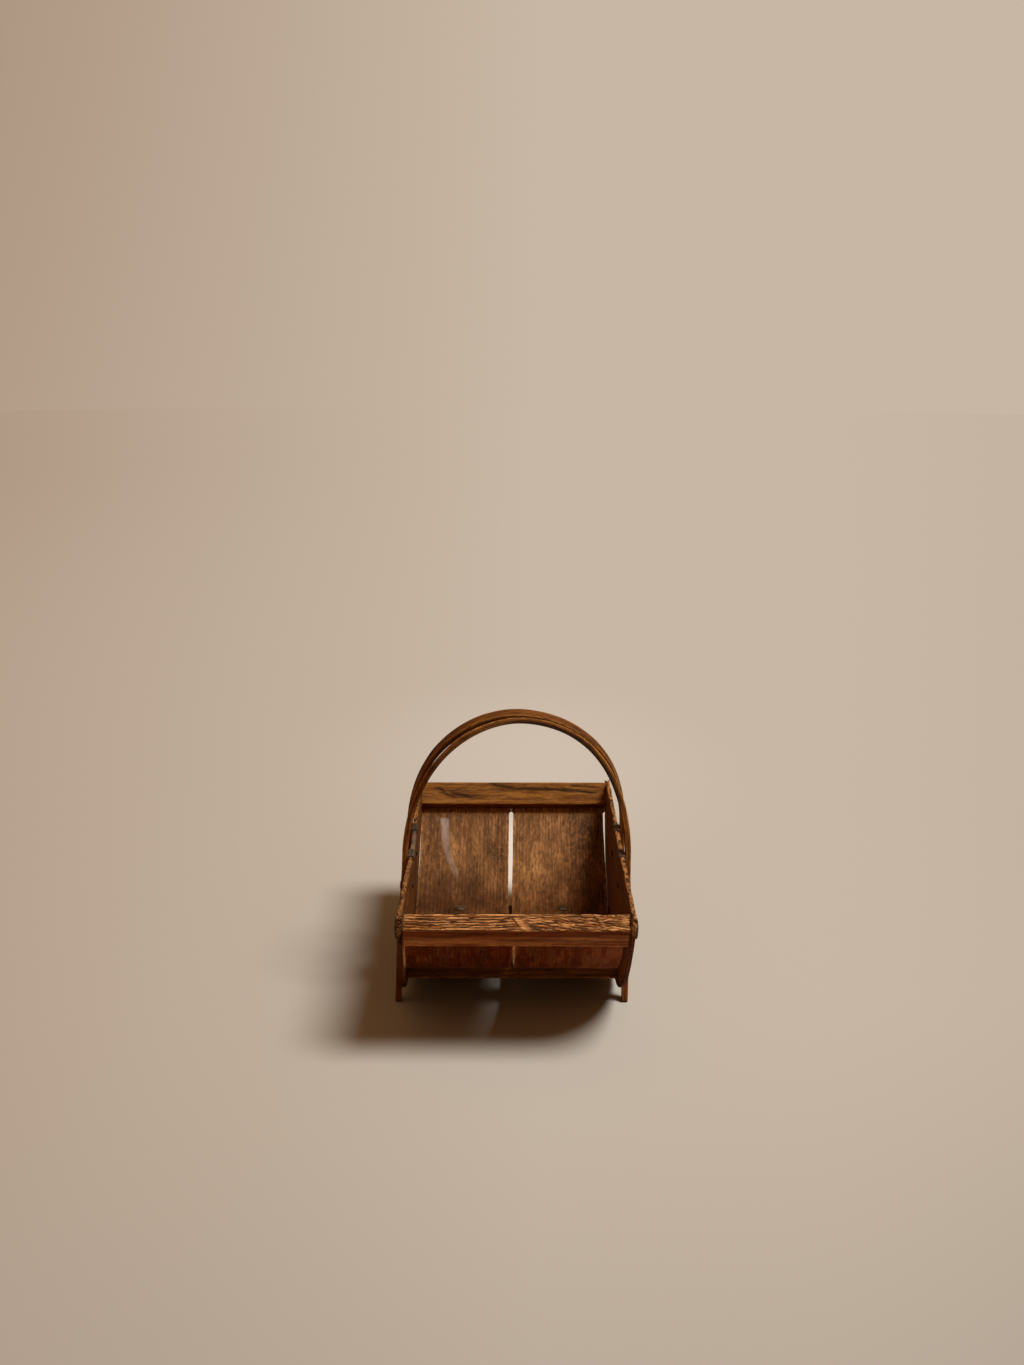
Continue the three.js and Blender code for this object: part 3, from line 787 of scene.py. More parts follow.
@dataclass
class EndRails:
    """The two leaning rails between the boards, each with a groove below for the panels' ends."""

    edge: float = 2.5
    lower_edge: float = 2.2
    back_lift: float = 1.5
    lip: float = 1.0
    lip_play: float = 0.2
    front_spacing: float = 0.62
    back_spacing: float = 0.8
    loop_spacing: float = 0.62
    rib_spacing: float = 3.5
    slanting_rib_spacing: float = 3.4
    flames: tuple[Flame, ...] = (
        Flame(-101.0, -84.0, -8.5, -16.5, 2.4),
        Flame(-99.0, -72.0, -14.5, -20.5, 2.0),
        Flame(-86.0, -50.0, -15.0, -21.5, 3.4),
        Flame(-33.0, -14.0, -2.0, -4.4, 2.2),
        Flame(-30.0, 8.0, -4.0, -8.6, 3.4),
        Flame(-4.0, 60.0, -9.0, -9.8, 2.8),
        Flame(34.0, 80.0, -8.0, -12.5, 2.2),
        Flame(58.0, 114.0, -9.5, -14.5, 2.6),
        Flame(70.0, 112.0, -5.0, -7.0, 1.8),
    )

    def section(self) -> Loop:
        """Return a rail's section: across its thickness, and along its breadth with 0 at the top.

        The groove runs up from the lower side in the direction in which the panels leave their bend. The
        inner part hangs lower than the groove's mouth by the lip, and stays clear of the panels.

        Returns:
            The section's outline.
        """
        thick, broad = FRAME.rail_thickness, FRAME.rail_breadth
        heading = FRAME.bend[3] + FRAME.rail_lean
        run, rise = math.cos(heading), math.sin(heading)
        half = FRAME.groove_width / 2
        mouth, depth = FRAME.groove_outward, FRAME.groove_depth + FRAME.groove_play
        reach = half / rise
        deep_x, deep_y = mouth + run * depth, -broad + rise * depth
        corners = [
            Corner(0.0, -broad - self.lip, self.lower_edge),
            Corner(mouth - reach - self.lip * run / rise - self.lip_play, -broad - self.lip),
            Corner(mouth - reach, -broad),
            Corner(deep_x - rise * half, deep_y + run * half),
            Corner(deep_x + rise * half, deep_y - run * half),
            Corner(mouth + reach, -broad),
            Corner(thick, -broad, self.edge * 0.8),
            Corner(thick, 0.0, self.edge),
            Corner(0.0, 0.0, self.edge),
        ]
        return section_loop(corners, self.loop_spacing)

    def surface(self, end: End, offset: float) -> Surface:
        """Carry the section between the boards, weather it in its own frame, then lean it into place.

        Args:
            end: The end that the rail is at.
            offset: What is added to the wood's places.

        Returns:
            The rail's surface.
        """
        front = end is End.FRONT
        spacing = self.front_spacing if front else self.back_spacing
        surface = straight_bar(self.section(), FRAME.half_width - FRAME.end_gap, spacing, offset)
        if front:
            self._weather_front(surface)
        else:
            self._weather_back(surface)
        _, outward, upward = surface.parts()
        y, z = FRAME.on_rail(outward, upward)
        surface.points[..., 1] = end.sign * y
        surface.points[..., 2] = z + (0.0 if front else self.back_lift)
        return surface

    @staticmethod
    def _ribs(noise: Noise, along: Array, across: Array, spacing: float, length: float) -> Array:
        """Return dark furrows side by side: the crests of a cosine of the way across, broken along each.

        Args:
            noise: The noise that breaks them, with a row of its own for each furrow.
            along: The way along the furrows.
            across: The way across them.
            spacing: The distance between furrows.
            length: The length of the breaks.

        Returns:
            The furrows' depth from 0 to 1.
        """
        turn = across / spacing
        crest = ramp(np.cos(2 * math.pi * turn), 0.2, 0.95)
        row = np.floor(turn + 0.5)
        return crest * ramp(noise.fractal(along / length + 3.7 * row, row * 5.3, 2), 0.2, 0.5)

    def _weather_front(self, surface: Surface) -> None:
        """Weather the front rail: its upper face is deeply torn along the grain, with bare patches.

        The tears are furrows side by side, pushed up and down by a coarse and a fine noise. On the right
        half short slanting furrows take their place. A split runs slantwise from the inner edge, just
        left of a patch where the wood is smooth, and a fainter one lies further to the right. What stands
        between the furrows is rubbed bare. The outer face gets painted shade, warm and dark, but for long
        golden clouds of painted light reflected up from the floor.

        Args:
            surface: The rail, before it leans.
        """
        noise, fine = Noise(21), Noise(22)
        x, outward, upward = surface.parts()
        top = ramp(upward, -3.2, -0.6)
        side = ramp(outward, FRAME.rail_thickness - 1.2, FRAME.rail_thickness - 0.2) * (1 - top)
        right = ramp(x, -25, 45)
        across = outward + (2.2 + 1.6 * right) * (noise.fractal(x / 30, outward / 12, 2) - 0.5)
        across = across + (0.7 + 0.7 * right) * (fine.at(x / 6, outward / 4) - 0.5)
        deep = ramp(noise.fractal(x / 30, outward / 8 + 7, 2), 0.25, 0.6)
        torn = self._ribs(noise, x, across, self.rib_spacing, 34.0) * (1 - 0.8 * right)
        slant_along, slant_across = x + 0.4 * outward, across - 0.15 * x + 30.0
        slant = self._ribs(fine, slant_along, slant_across, self.slanting_rib_spacing, 9.0) * right
        thin = fine.crevices(x / 26, across / 1.6, 3.2)
        split_line = x - (-8.3 + 0.667 * outward)
        smooth_patch = ramp(split_line, 0.5, 2.2) * fade(split_line, 3.5, 14)
        smooth_patch = 0.8 * smooth_patch * ramp(outward, 4.5, 8) * fade(outward, 19, 21.3)
        second_line = x - (80.0 + 0.5 * outward)
        second_patch = 0.4 * hump(second_line, 3.5, 2.6) * fade(outward, 12, 18)
        end_patch = Spot(114, 4.5, 9.5, 6, 0.6).at(x, outward)
        patch = np.clip(smooth_patch + second_patch + end_patch, 0.0, 1.0)
        split = hump(split_line, 0, 0.9) * ramp(outward, 2, 4) * fade(outward, 14, 18)
        split = np.maximum(split, 0.4 * hump(second_line, -0.5, 0.8) * fade(outward, 12, 17))
        cut = np.maximum(torn, slant) * (0.65 + 0.35 * deep)
        depth = np.clip(np.maximum(cut, 0.8 * thin) * (1 - 0.85 * patch), 0.0, 1.0)
        ridge = ramp(fine.fractal(x / 20, across / 1.6 + 3, 3), 0.36, 0.6) * (1 - depth) ** 2
        surface.carve(top * (1.1 * depth + 1.1 * split + 0.25 * patch - 0.25 * ridge) + side * 0.12 * thin)
        surface.mark(Mask.DARK, top * np.clip(1.9 * depth - 0.05, 0.0, 1.0))
        surface.mark(Mask.DARK, top * split)
        surface.mark(Mask.DARK, ramp(np.abs(x), FRAME.half_width - 2.4, FRAME.half_width - 1.5))
        inner_edge = hump(outward, 1.2, 1.1)
        ridge = np.maximum(ridge, 0.8 * inner_edge * (1 - depth))
        brighter = 0.8 + 0.2 * ramp(x, 60, 110)
        surface.mark(Mask.BARE_AND_HIGHLIGHT, top * np.clip(patch * 0.65 + 1.2 * brighter * ridge, 0, 1))
        # Painted light: golden clouds over the outer face's lower part stand for light reflected up from the
        # floor.
        flow = noise.fractal(x / 55, (upward + 1.5 * noise.at(x / 40, 2)) / 3.2, 3)
        golden = 0.75 * ramp(-upward, 8, 17) * ramp(flow, 0.36, 0.6)
        golden = np.maximum(golden, Spot(-98, 42, -27, 5).at(x, upward + 0.05 * x))
        golden = np.maximum(golden, Spot(70, 66, -20, 7.5).at(x, upward - 0.03 * x))
        surface.mark(Mask.BARE_AND_HIGHLIGHT, side * 0.22 * golden)
        # Painted shade: the outer face takes a warm dark colour, except in the golden clouds.
        surface.mark(Mask.STAIN_AND_SHADE, side * (0.72 - 0.68 * golden))
        under_edge = hump(upward, -4.2, 1.7)
        surface.mark(Mask.DARK, side * 0.5 * under_edge * ramp(noise.at(x / 14, 5), 0.2, 0.6))
        # Painted shade: the outer face darkens all over, most where the golden clouds are thin.
        surface.mark(Mask.DARK, side * (0.18 + 0.4 * ramp(0.44 - flow, 0, 0.12)))

    def _weather_back(self, surface: Surface) -> None:
        """Weather the back rail: dark flames of figure run along its golden inner face.

        A flame is a bell across a line that sinks along the rail and wobbles with a noise, and its core
        is a narrower, darker bell. Along its lower edge the face gets painted shade, warm and dark.

        Args:
            surface: The rail, before it leans.
        """
        noise = Noise(23)
        x, outward, upward = surface.parts()
        lines = noise.crevices(x / 40, (upward + outward) / 3.4)
        surface.carve(0.2 * lines)
        wobble = 2.2 * (noise.fractal(x / 16, upward / 6) - 0.5)
        inner = fade(outward, 2, 6)
        for flame in self.flames:
            share = np.clip((x - flame.start) / (flame.finish - flame.start), 0.0, 1.0)
            line = flame.high + (flame.low - flame.high) * ramp(share, 0, 1) + wobble
            begun = ramp(x, flame.start - 4, flame.start + 8)
            within = begun * fade(x, flame.finish - 14, flame.finish + 10)
            body = ramp(hump(upward, line, flame.breadth), 0.2, 0.65)
            core = ramp(hump(upward, line - 0.4, 0.45 * flame.breadth), 0.25, 0.6)
            surface.mark(Mask.DARK, inner * np.maximum((0.62 + 0.3 * lines) * body, 0.98 * core) * within)
        surface.mark(Mask.DARK, 0.55 * lines * inner * noise.at(x / 30, upward / 10))
        golden = ramp(noise.fractal(x / 26 + 40, upward / 5, 3), 0.46, 0.66)
        surface.mark(Mask.BARE_AND_HIGHLIGHT, 0.35 * inner * golden)
        # Painted shade: a warm dark band along the inner face's lower edge.
        surface.mark(Mask.STAIN_AND_SHADE, 0.5 * inner * fade(upward, -32, -26))

    def build(self, finishes: dict[End, Material]) -> None:
        """Make both rails, each of its own plank and with the finish of its end."""
        for index, (end, finish) in enumerate(finishes.items()):
            surface = self.surface(end, 250.0 * (index + 3))
            mesh_piece(f"{end.value}_rail", surface, finish, Slot.BOARD)


@dataclass
class TroughPanels:
    """The two long panels, bent to a U and let into the rails' grooves."""

    spacing: float = 1.2
    edge: float = 0.6
    loop_spacing: float = 1.1
    gap: Row = (2.8, 3.4, 4.4, 4.8, 5.3, 5.3, 5.2, 5.2, 0.02, 0.02)
    gap_offset: Row = (-1.3, -2.1, -2.4, -2.5, -2.4, -2.5, -2.6, -2.7, -2.7, -2.7)
    left_slit: Row = (2.6, 1.2, 0.6, 0.65, 1.15, 0.8, 0.25, -0.3, -0.3, -0.3)
    right_slit: Row = (5.6, 1.8, 0.8, 0.9, 1.1, 1.5, 2.3, 2.6, 0.03, 0.03)
    slit_places: Row = (-240.0, 0.0, 110.0, 150.0, 184.0, 210.0, 226.0, 246.6, 247.8, 256.0)
    scuff_places: Row = (150.0, 163.0, 184.0, 203.0, 237.0)
    scuff_line: Row = (-70.0, -73.3, -81.0, -86.3, -89.6)
    scuff_half_breadth: Pair = (3.6, 5.4)
    rubbed_left: tuple[Spot, Spot] = (Spot(-76.0, 5.0, 205.0, 50.0), Spot(-48.0, 16.0, 200.0, 32.0))
    # Painted light: where the key falls on the right panel.
    painted_light_right: tuple[Spot, Spot] = (Spot(28.0, 25.0, 178.0, 40.0), Spot(12.0, 13.0, 150.0, 66.0, 0.65))

    @staticmethod
    def path() -> Array:
        """Return the middle of the thickness in y and z, from the front groove to the back one.

        Half of it is a level stretch, an arc to the seat on the bar, the straight seat, an arc to the
        groove's mouth and a straight end in the groove. The other half mirrors it.

        Returns:
            The points of the path.
        """
        _, centre_z, radius, sweep = FRAME.bend
        half_seat = math.asin(FRAME.seat_length / 2 / radius)
        before = np.linspace(0.0, FRAME.bar_angle - half_seat, 12)
        after = np.linspace(FRAME.bar_angle + half_seat, sweep, 60)
        arcs = [np.stack(FRAME.on_bend(angles, radius), axis=1) for angles in (before, after)]
        direction = np.array([math.cos(sweep), math.sin(sweep)])
        tip = arcs[1][-1] + direction * FRAME.groove_depth
        half = np.concatenate([[[0.0, centre_z - radius]], *arcs, [tip]])
        return np.concatenate([half[:0:-1] * np.array([-1.0, 1.0]), half])

    def edges(self, side: Side, y: Array) -> tuple[Array, Array]:
        """Return a panel's edges: half the width less a slit, or the gap, changing evenly along y.

        Args:
            side: The side that the panel is on.
            y: The places along the trough.

        Returns:
            The x of its left edge and of its right edge.
        """
        gap, middle, left, right = (
            np.interp(y, self.slit_places, sizes)
            for sizes in (self.gap, self.gap_offset, self.left_slit, self.right_slit)
        )
        if side is Side.LEFT:
            return left - FRAME.half_width, middle - gap / 2
        return middle + gap / 2, FRAME.half_width - right

    def surface(self, side: Side, offset: float) -> Surface:
        """Carry a thin section along the bent path: a share of its width becomes x between the edges.

        Args:
            side: The side that the panel is on.
            offset: What is added to the wood's places.

        Returns:
            The panel's surface, with its grain along the path.
        """
        path = resampled(self.path(), self.spacing)
        tangent = unit(np.gradient(path, axis=0))
        normal = np.stack([-tangent[:, 1], tangent[:, 0]], axis=1)
        nominal_width = 100.0
        loop = box_loop(nominal_width, FRAME.panel_thickness, self.edge, self.loop_spacing)
        left, right = self.edges(side, path[:, 0])
        share = loop.points[:, 0] / nominal_width + 0.5
        x = left[:, None] + (right - left)[:, None] * share
        depth = loop.points[None, :, 1]
        y = path[:, :1] + normal[:, :1] * depth
        z = path[:, 1:] + normal[:, 1:] * depth
        points = np.stack([x, y, z], axis=-1)
        along = np.broadcast_to(path_length(path)[:, None], x.shape)
        wood = plank_places(along, x, depth, offset, (0.3, 0.2))
        surface = Surface(points, wood, loop.wear)
        self._weather(surface, side, along, np.broadcast_to(depth, x.shape))
        return surface

    def _weather(self, surface: Surface, side: Side, along: Array, depth: Array) -> None:
        """Open the grain of the upper face, rub a patch of the left panel, and paint a patch of light on the
        right one.

        Masks are noises stretched along the path and raised by smooth steps, times the places where
        each shows. The lower face gets painted shade, warm and dark, and painted light that grows towards
        the right. The left panel also has darker bands, and a pale scuff along a bent line.

        Args:
            surface: The panel.
            side: The side that it is on.
            along: The length along the path at each point.
            depth: The height of each point above the middle of the thickness.
        """
        left = side is Side.LEFT
        noise, fine = Noise(31 if left else 32), Noise(33 if left else 34)
        x = surface.points[..., 0]
        upper, under = ramp(depth, 0, 1.6), fade(depth, -1.6, 0)
        open_grain = noise.crevices(along / 26, (x + 2 * noise.at(along / 45, x / 20)) / 4.2, 3)
        flecks = ramp(fine.fractal(along / 9, x / 1.9, 2), 0.62, 0.8)
        worn = 0.15 * surface.wear * noise.at(along / 12, x / 3)
        surface.carve(0.14 * open_grain + 0.12 * flecks + worn)
        where = ramp(noise.fractal(along / 35, x / 16, 3), 0.36, 0.65)
        curled = ramp(fine.fractal(along / 7 + 60, x / 3 + 20, 4, 0.62), 0.54, 0.68)
        figure = np.maximum(0.55 * open_grain * where, 0.35 * curled)
        surface.mark(Mask.DARK, upper * np.maximum(figure, 0.5 * flecks))
        surface.mark(Mask.STAIN_AND_SHADE, 0.3 * upper * fade(along - along.max() / 2, 100, 190))
        y = surface.points[..., 1]
        # Painted shade: the lower face, turned down into the trug's shadow, takes a warm dark colour, a
        # little less away from the front.
        belly = 0.82 + 0.18 * ramp(fine.fractal(x / 5, along / 30, 3), 0.62, 0.4)
        low = ramp(y, -205, -130)
        surface.mark(Mask.STAIN_AND_SHADE, under * belly * (1 - 0.3 * low))
        # Painted light on the lower face, more away from the front and towards the right, lifting its shade.
        painted_light_under = 0.14 * low + (0 if left else 0.1) + 0.4 * ramp(x, 40, 115)
        surface.mark(Mask.BARE_AND_HIGHLIGHT, under * painted_light_under)
        # At the front, painted shade darkens the left panel's edge at the middle gap, and a painted highlight
        # of the key shining through the gap brightens the right panel's edge.
        at_gap = ramp(-np.abs(x - (x.max(1) if left else x.min(1))[:, None]), -0.3, -0.05)
        surface.mark(Mask.DARK if left else Mask.SCUFF_AND_HIGHLIGHT, 0.95 * at_gap * ramp(-y, 60, 110))
        if left:
            surface.mark(Mask.SCUFF_AND_HIGHLIGHT, self._scuff(upper, x, y, fine))
        # Lighter patches on the upper face: a rubbed patch on the left panel, and a painted patch of key
        # light on the right one.
        first, second = self.rubbed_left if left else self.painted_light_right
        rubbed = np.maximum(first.at(x, y), second.at(x, y))
        patchy = 0.25 + 0.75 * ramp(fine.fractal(x / 7, y / 22, 4), 0.34, 0.62)
        surface.mark(Mask.BARE_AND_HIGHLIGHT, upper * 0.85 * rubbed * patchy)
        bright = ramp(fine.fractal(along / 6 + 90, x / 2.4 + 70, 4, 0.62), 0.5, 0.7)
        high = ramp(y, 120, 200)
        # Painted light: the panels' tops just under the back rail are lifted against the rail's shadow.
        surface.mark(Mask.BARE_AND_HIGHLIGHT, upper * ramp(y, 238, 246))
        surface.mark(Mask.BARE_AND_HIGHLIGHT, upper * 0.42 * bright * (0.25 + 0.75 * high))
        if left:
            bands = ramp(noise.fractal(x / 7 + 15, along / 120, 2), 0.5, 0.7)
            # The left panel is darker over its front and middle, most towards its left side.
            darker_part = 0.48 * fade(y, 140, 210) * ramp(-x, -30, 70)
            surface.mark(Mask.DARK, upper * np.maximum(0.4 * bands * (0.4 + 0.6 * high), darker_part))

    def _scuff(self, upper: Array, x: Array, y: Array, fine: Noise) -> Array:
        """Return the pale scuff of the left panel, with its fainter tail at the lower end.

        Args:
            upper: The mask of the upper face.
            x: The first coordinate.
            y: The second coordinate.
            fine: The noise that breaks it up.

        Returns:
            The mask of the scuff.
        """
        line = np.interp(y, self.scuff_places, self.scuff_line)
        reach = np.interp(y, [self.scuff_places[0], self.scuff_places[-1]], self.scuff_half_breadth)
        streak = ramp(reach - np.abs(x - line), -0.8, 1.2)
        ends = ramp(y, 176, 192) * fade(y, 236, 239)
        tail = streak * ramp(y, 146, 168) * fade(y, 178, 192)
        broken = ramp(fine.fractal(x / 3, y / 9, 3), 0.3, 0.55)
        faded = 0.4 + 0.6 * ramp(y, 195, 232)
        return upper * (0.85 * faded * streak * ends + 0.4 * tail) * (0.45 + 0.55 * broken)

    def build(self, finish: Material) -> None:
        """Make both panels."""
        for index, side in enumerate(Side):
            surface = self.surface(side, 430.0 * (index + 2))
            mesh_piece(f"trough_panel_{side.value}", surface, finish, Slot.PANEL)


@dataclass
class BottomBars:
    """The two bars below the trough, tilted to the bends that they carry."""

    breadth: float = 38.0
    edge: float = 1.5

    def build(self, finish: Material) -> None:
        """Make both bars: the section is turned by the bar angle and set at the bar's place.

        Args:
            finish: The finish of both.
        """
        middle_y, middle_z = FRAME.bar_middle
        cosine, sine = math.cos(FRAME.bar_angle), math.sin(FRAME.bar_angle)
        for index, end in enumerate(End):
            loop = box_loop(self.breadth, FRAME.bar_thickness, self.edge, 1.0)
            surface = straight_bar(loop, FRAME.half_width - FRAME.end_gap, 1.1, 190.0 * (index + 6))
            noise = Noise(41 + index)
            x, across, up = surface.parts()
            lines = noise.crevices(x / 38.0, (across + up) / 3.6)
            surface.carve(0.2 * lines + 0.4 * surface.wear * noise.at(x / 14.0, up / 4.0))
            surface.mark(Mask.DARK, 0.45 * lines)
            # Painted shade: the whole bar, low in the trug's shadow, takes a warm dark colour.
            surface.mark(Mask.STAIN_AND_SHADE, np.full(x.shape, 0.26))
            # Painted shadow: a dark line along the bar's top edge, where the bellies of the panels meet it.
            top = FRAME.bar_thickness / 2
            surface.mark(Mask.DARK, 1.15 * ramp(up, top - 2.6, top - 1.6))
            _, across, up = surface.parts()
            surface.points[..., 1] = end.sign * (middle_y + across * cosine - up * sine)
            surface.points[..., 2] = middle_z + across * sine + up * cosine
            mesh_piece(f"bottom_bar_{end.value}", surface, finish, Slot.BOARD)


@dataclass(frozen=True)
class Bend:
    """A half of a hoop's arch: its lean where it leaves the leg, and its two handles."""

    lean_in: float
    shoulder: float
    level: float


@dataclass
class HandleHoops:
    """The two bentwood hoops that run from foot to foot and lean towards each other."""

    breadth: float = 17.0
    rise: float = 150.2
    crown_gap: float = 13.7
    setback: float = -0.95
    leg_at_bar: float = 83.5
    twist: float = 5.2
    spring_above_clip: float = 3.0
    foot_corner: float = 5.0
    edge: float = 1.2
    spacing: float = 1.5
    loop_spacing: float = 0.8
    left_bend: Bend = Bend(0.0336, 108.9, 45.7)
    right_bend: Bend = Bend(0.0532, 135.2, 34.1)
    swelling: float = 0.95
    swelling_place: Pair = (-63.0, 18.0)

    @property
    def crown_spread(self) -> float:
        """Half the distance between the hoops' middle lines at the crown."""
        return (self.crown_gap + self.breadth) / 2

    @property
    def crown_height(self) -> float:
        """The height of the hoops' middle lines at the crown."""
        return FRAME.rail_height + self.rise

    @property
    def lean(self) -> float:
        """The angle of a hoop's plane from the upright."""
        return math.atan2(self.leg_at_bar - self.crown_spread, self.crown_height - FRAME.bar_middle[1])

    def place_y(self, end: End, z: float) -> float:
        """Return y of a hoop's middle line at a height."""
        return self.setback + end.sign * (self.crown_spread + (self.crown_height - z) * math.tan(self.lean))

    def up_plane(self, z: float) -> float:
        """Return the length up a hoop's plane from the rails' height to z."""
        return (z - FRAME.rail_height) / math.cos(self.lean)

    def line(self, end: End) -> Array:
        """Return a hoop's middle line in its own frame, from the left foot to the right foot.

        Each leg is straight. Each half of the arch is a cubic curve that leaves its leg with a small
        lean and comes level to the crown. The arch is twisted out of its plane by twice the twist times
        the share of the way out from the middle times a smooth rise from spring to crown.

        Args:
            end: The end that the hoop stands nearer to.

        Returns:
            The line's points: x, out of the plane, and up the plane.
        """
        spring = self.up_plane(FRAME.board_top + FRAME.clip_sheet + self.spring_above_clip)
        crown = self.up_plane(self.crown_height)
        foot = self.up_plane(0.0)
        t = np.linspace(0.0, 1.0, 80)[:, None]
        halves = []
        for side, bend, bow in (
            (Side.LEFT, self.left_bend, FRAME.bow_left),
            (Side.RIGHT, self.right_bend, FRAME.bow_right),
        ):
            sign = side.sign
            start = np.array([sign * (FRAME.leg_x - bow), spring])
            heading = np.array([-sign * math.sin(bend.lean_in), math.cos(bend.lean_in)])
            rising = start + bend.shoulder * heading
            top, before = np.array([0.0, crown]), np.array([sign * bend.level, crown])
            arch = (1 - t) ** 3 * start + 3 * (1 - t) ** 2 * t * rising
            arch = arch + 3 * (1 - t) * t**2 * before + t**3 * top
            rows = np.linspace(foot, spring, 60)[:-1]
            inwards = bow * FRAME.bow_share(FRAME.rail_height + rows * math.cos(self.lean))
            leg = np.stack([sign * (FRAME.leg_x - inwards), rows], axis=1)
            halves.append(np.concatenate([leg, arch]))
        flat = resampled(np.concatenate([halves[0], halves[1][-2::-1]]), self.spacing)
        risen = ramp(flat[:, 1], spring, crown)
        offset = -2 * self.twist * end.sign * flat[:, 0] / FRAME.leg_x * risen
        return np.stack([flat[:, 0], offset, flat[:, 1]], axis=1)

    def surface(self, end: End, offset: float) -> Surface:
        """Carry the strip's section along the line and cut its feet level.

        The section's breadth stays square to the line within the hoop's plane. Towards a foot it turns
        level with the floor, and its breadth shrinks over the last few millimetres as a quarter circle.
        The inner side swells a little where the slit between the hoops ends.

        Args:
            end: The end that the hoop stands nearer to.
            offset: What is added to the wood's places.

        Returns:
            The hoop's surface, with its grain along the line.
        """
        sign = end.sign
        line = self.line(end)
        tangent = unit(np.gradient(line, axis=0))
        normal = unit(np.array([0.0, -1.0, 0.0]) + tangent * tangent[:, 1:2])
        side = np.cross(tangent, normal)
        loop = box_loop(self.breadth, FRAME.hoop_thickness, self.edge, self.loop_spacing)
        noise = Noise(51 if end is End.FRONT else 52)
        along = path_length(line)
        upright, fall = math.cos(self.lean), sign * math.sin(self.lean)
        heights = FRAME.rail_height + line[:, 2] * upright + line[:, 1] * fall
        low = np.clip(heights / self.foot_corner, 0.0, 1.0)
        inner = self.breadth / 2 - self.foot_corner
        narrowed = (inner + self.foot_corner * np.sqrt(1 - (1 - low) ** 2)) / (self.breadth / 2)
        across = loop.points[None, :, 0] * narrowed[:, None]
        thick = loop.points[None, :, 1] * (0.97 + 0.05 * noise.at(along / 60.0, 3.0))[:, None]
        swelling = self.swelling * hump(line[:, :1], *self.swelling_place)
        swelling = swelling * ramp(line[:, 2:], 60.0, 90.0)
        thick = thick + sign * swelling * ramp(sign * thick, -0.5, 0.5)
        local = line[:, None] + normal[:, None] * across[..., None] + side[:, None] * thick[..., None]
        level = fade(heights, 2.0, 40.0)[:, None]
        slide = -across * level * (normal[:, 1:2] * fall + normal[:, 2:] * upright)
        slide = slide / (tangent[:, 1:2] * fall + tangent[:, 2:] * upright)
        local = local + tangent[:, None] * slide[..., None]
        wood = plank_places(along[:, None], across, thick, offset, (0.4, 0.2))
        surface = Surface(local, wood, loop.wear)
        self._weather(surface, end, noise, (along[:, None], across, thick), (line[:, :1], heights[:, None]))
        cosine, sine = math.cos(sign * self.lean), math.sin(sign * self.lean)
        _, y, z = surface.parts()
        surface.points[..., 1] = self.place_y(end, FRAME.rail_height) + cosine * y - sine * z
        surface.points[..., 2] = FRAME.rail_height + sine * y + cosine * z
        surface.points[..., 2] = np.maximum(surface.points[..., 2], 0.0)
        return surface

    def _weather(
        self,
        surface: Surface,
        end: End,
        noise: Noise,
        strip: tuple[Array, Array, Array],
        place: tuple[Array, Array],
    ) -> None:
        """Groove a hoop along its grain, wear its edges and darken its legs.

        A painted highlight runs along the front hoop's outer front edge, and painted shade darkens the
        arch's inner half and underside.

        Args:
            surface: The hoop.
            end: The end that it stands nearer to.
            noise: The noise of its wear.
            strip: Each point's place along, across and through the strip.
            place: The x and the height of each point of the line.
        """
        (along, across, thick), (x, height) = strip, place
        front, half = end is End.FRONT, self.breadth / 2
        grooves = noise.crevices(along / 48, (across + thick * 1.3) / 2.7, 3)
        uneven = noise.at(along / 18, across / 6 + 9)
        surface.carve(0.22 * grooves + surface.wear * 0.25 * uneven)
        surface.mark(Mask.DARK, 0.8 * grooves * ramp(noise.at(along / 70, across / 4), 0.25, 0.7))
        outer_front = ramp(across, half - 2.5, half - 0.8) * ramp(-thick, 1, 2.6)
        # Worn edges, brightest on the outer front corner, where the wear is partly a painted highlight.
        surface.mark(Mask.BARE_AND_HIGHLIGHT, surface.wear * ramp(uneven, 0.4, 0.9) * (0.6 + 0.4 * outer_front))
        # Painted highlight: a pale line along the front hoop's outer front edge over the right shoulder.
        if front:
            surface.mark(Mask.BARE_AND_HIGHLIGHT, 1.1 * outer_front * hump(x, 78, 46) * ramp(uneven, 0.1, 0.4))
        # Painted shade: the arch's inner half and underside darken, most from the crown to the right on the
        # front hoop.
        arch = ramp(height, 190, 235)
        darker_part = 0.55 + 0.45 * ramp(x, -45, 5) * (1 if front else 0.3)
        surface.mark(Mask.DARK, ramp(thick, -0.9, 0.4) * arch * darker_part)
        reddened = np.maximum(0.55 * fade(height, 25, 95), 0.75 * ramp(-x, 40, 110))
        reddened = np.maximum(reddened, 0.3 * ramp(x, 60, 115) * fade(height, 170, 230))
        surface.mark(Mask.STAIN_AND_SHADE, reddened * (0.75 + 0.25 * ramp(uneven, 0.6, 0.4)))

    def build(self, finish: Material) -> None:
        """Make both hoops."""
        for index, end in enumerate(End):
            surface = self.surface(end, 510.0 * (index + 3))
            mesh_piece(f"handle_hoop_{end.value}", surface, finish, Slot.HOOP)


@dataclass(frozen=True)
class Domed:
    """A fixing with a low domed head on a plain shank: two diameters and two heights."""

    head: float
    height: float
    shank: float
    length: float
    rim_share: float = 0.45
    chamfer: float = 0.3

    def profile(self) -> Profile:
        """Return radius and height from the tip to the middle of the head.

        The head's side is upright up to its rim, and its dome is a quarter of an ellipse above that.
        """
        rim, radius, shank = self.height * self.rim_share, self.head / 2, self.shank / 2
        angle = np.linspace(0.0, math.pi / 2, 9)
        arc = [(radius * math.cos(a), rim + (self.height - rim) * math.sin(a)) for a in angle]
        foot = [(TIP_RADIUS, -self.length), (shank, -self.length), (shank, 0.0)]
        return [*foot, (radius - self.chamfer, 0.0), (radius, self.chamfer), *arc]


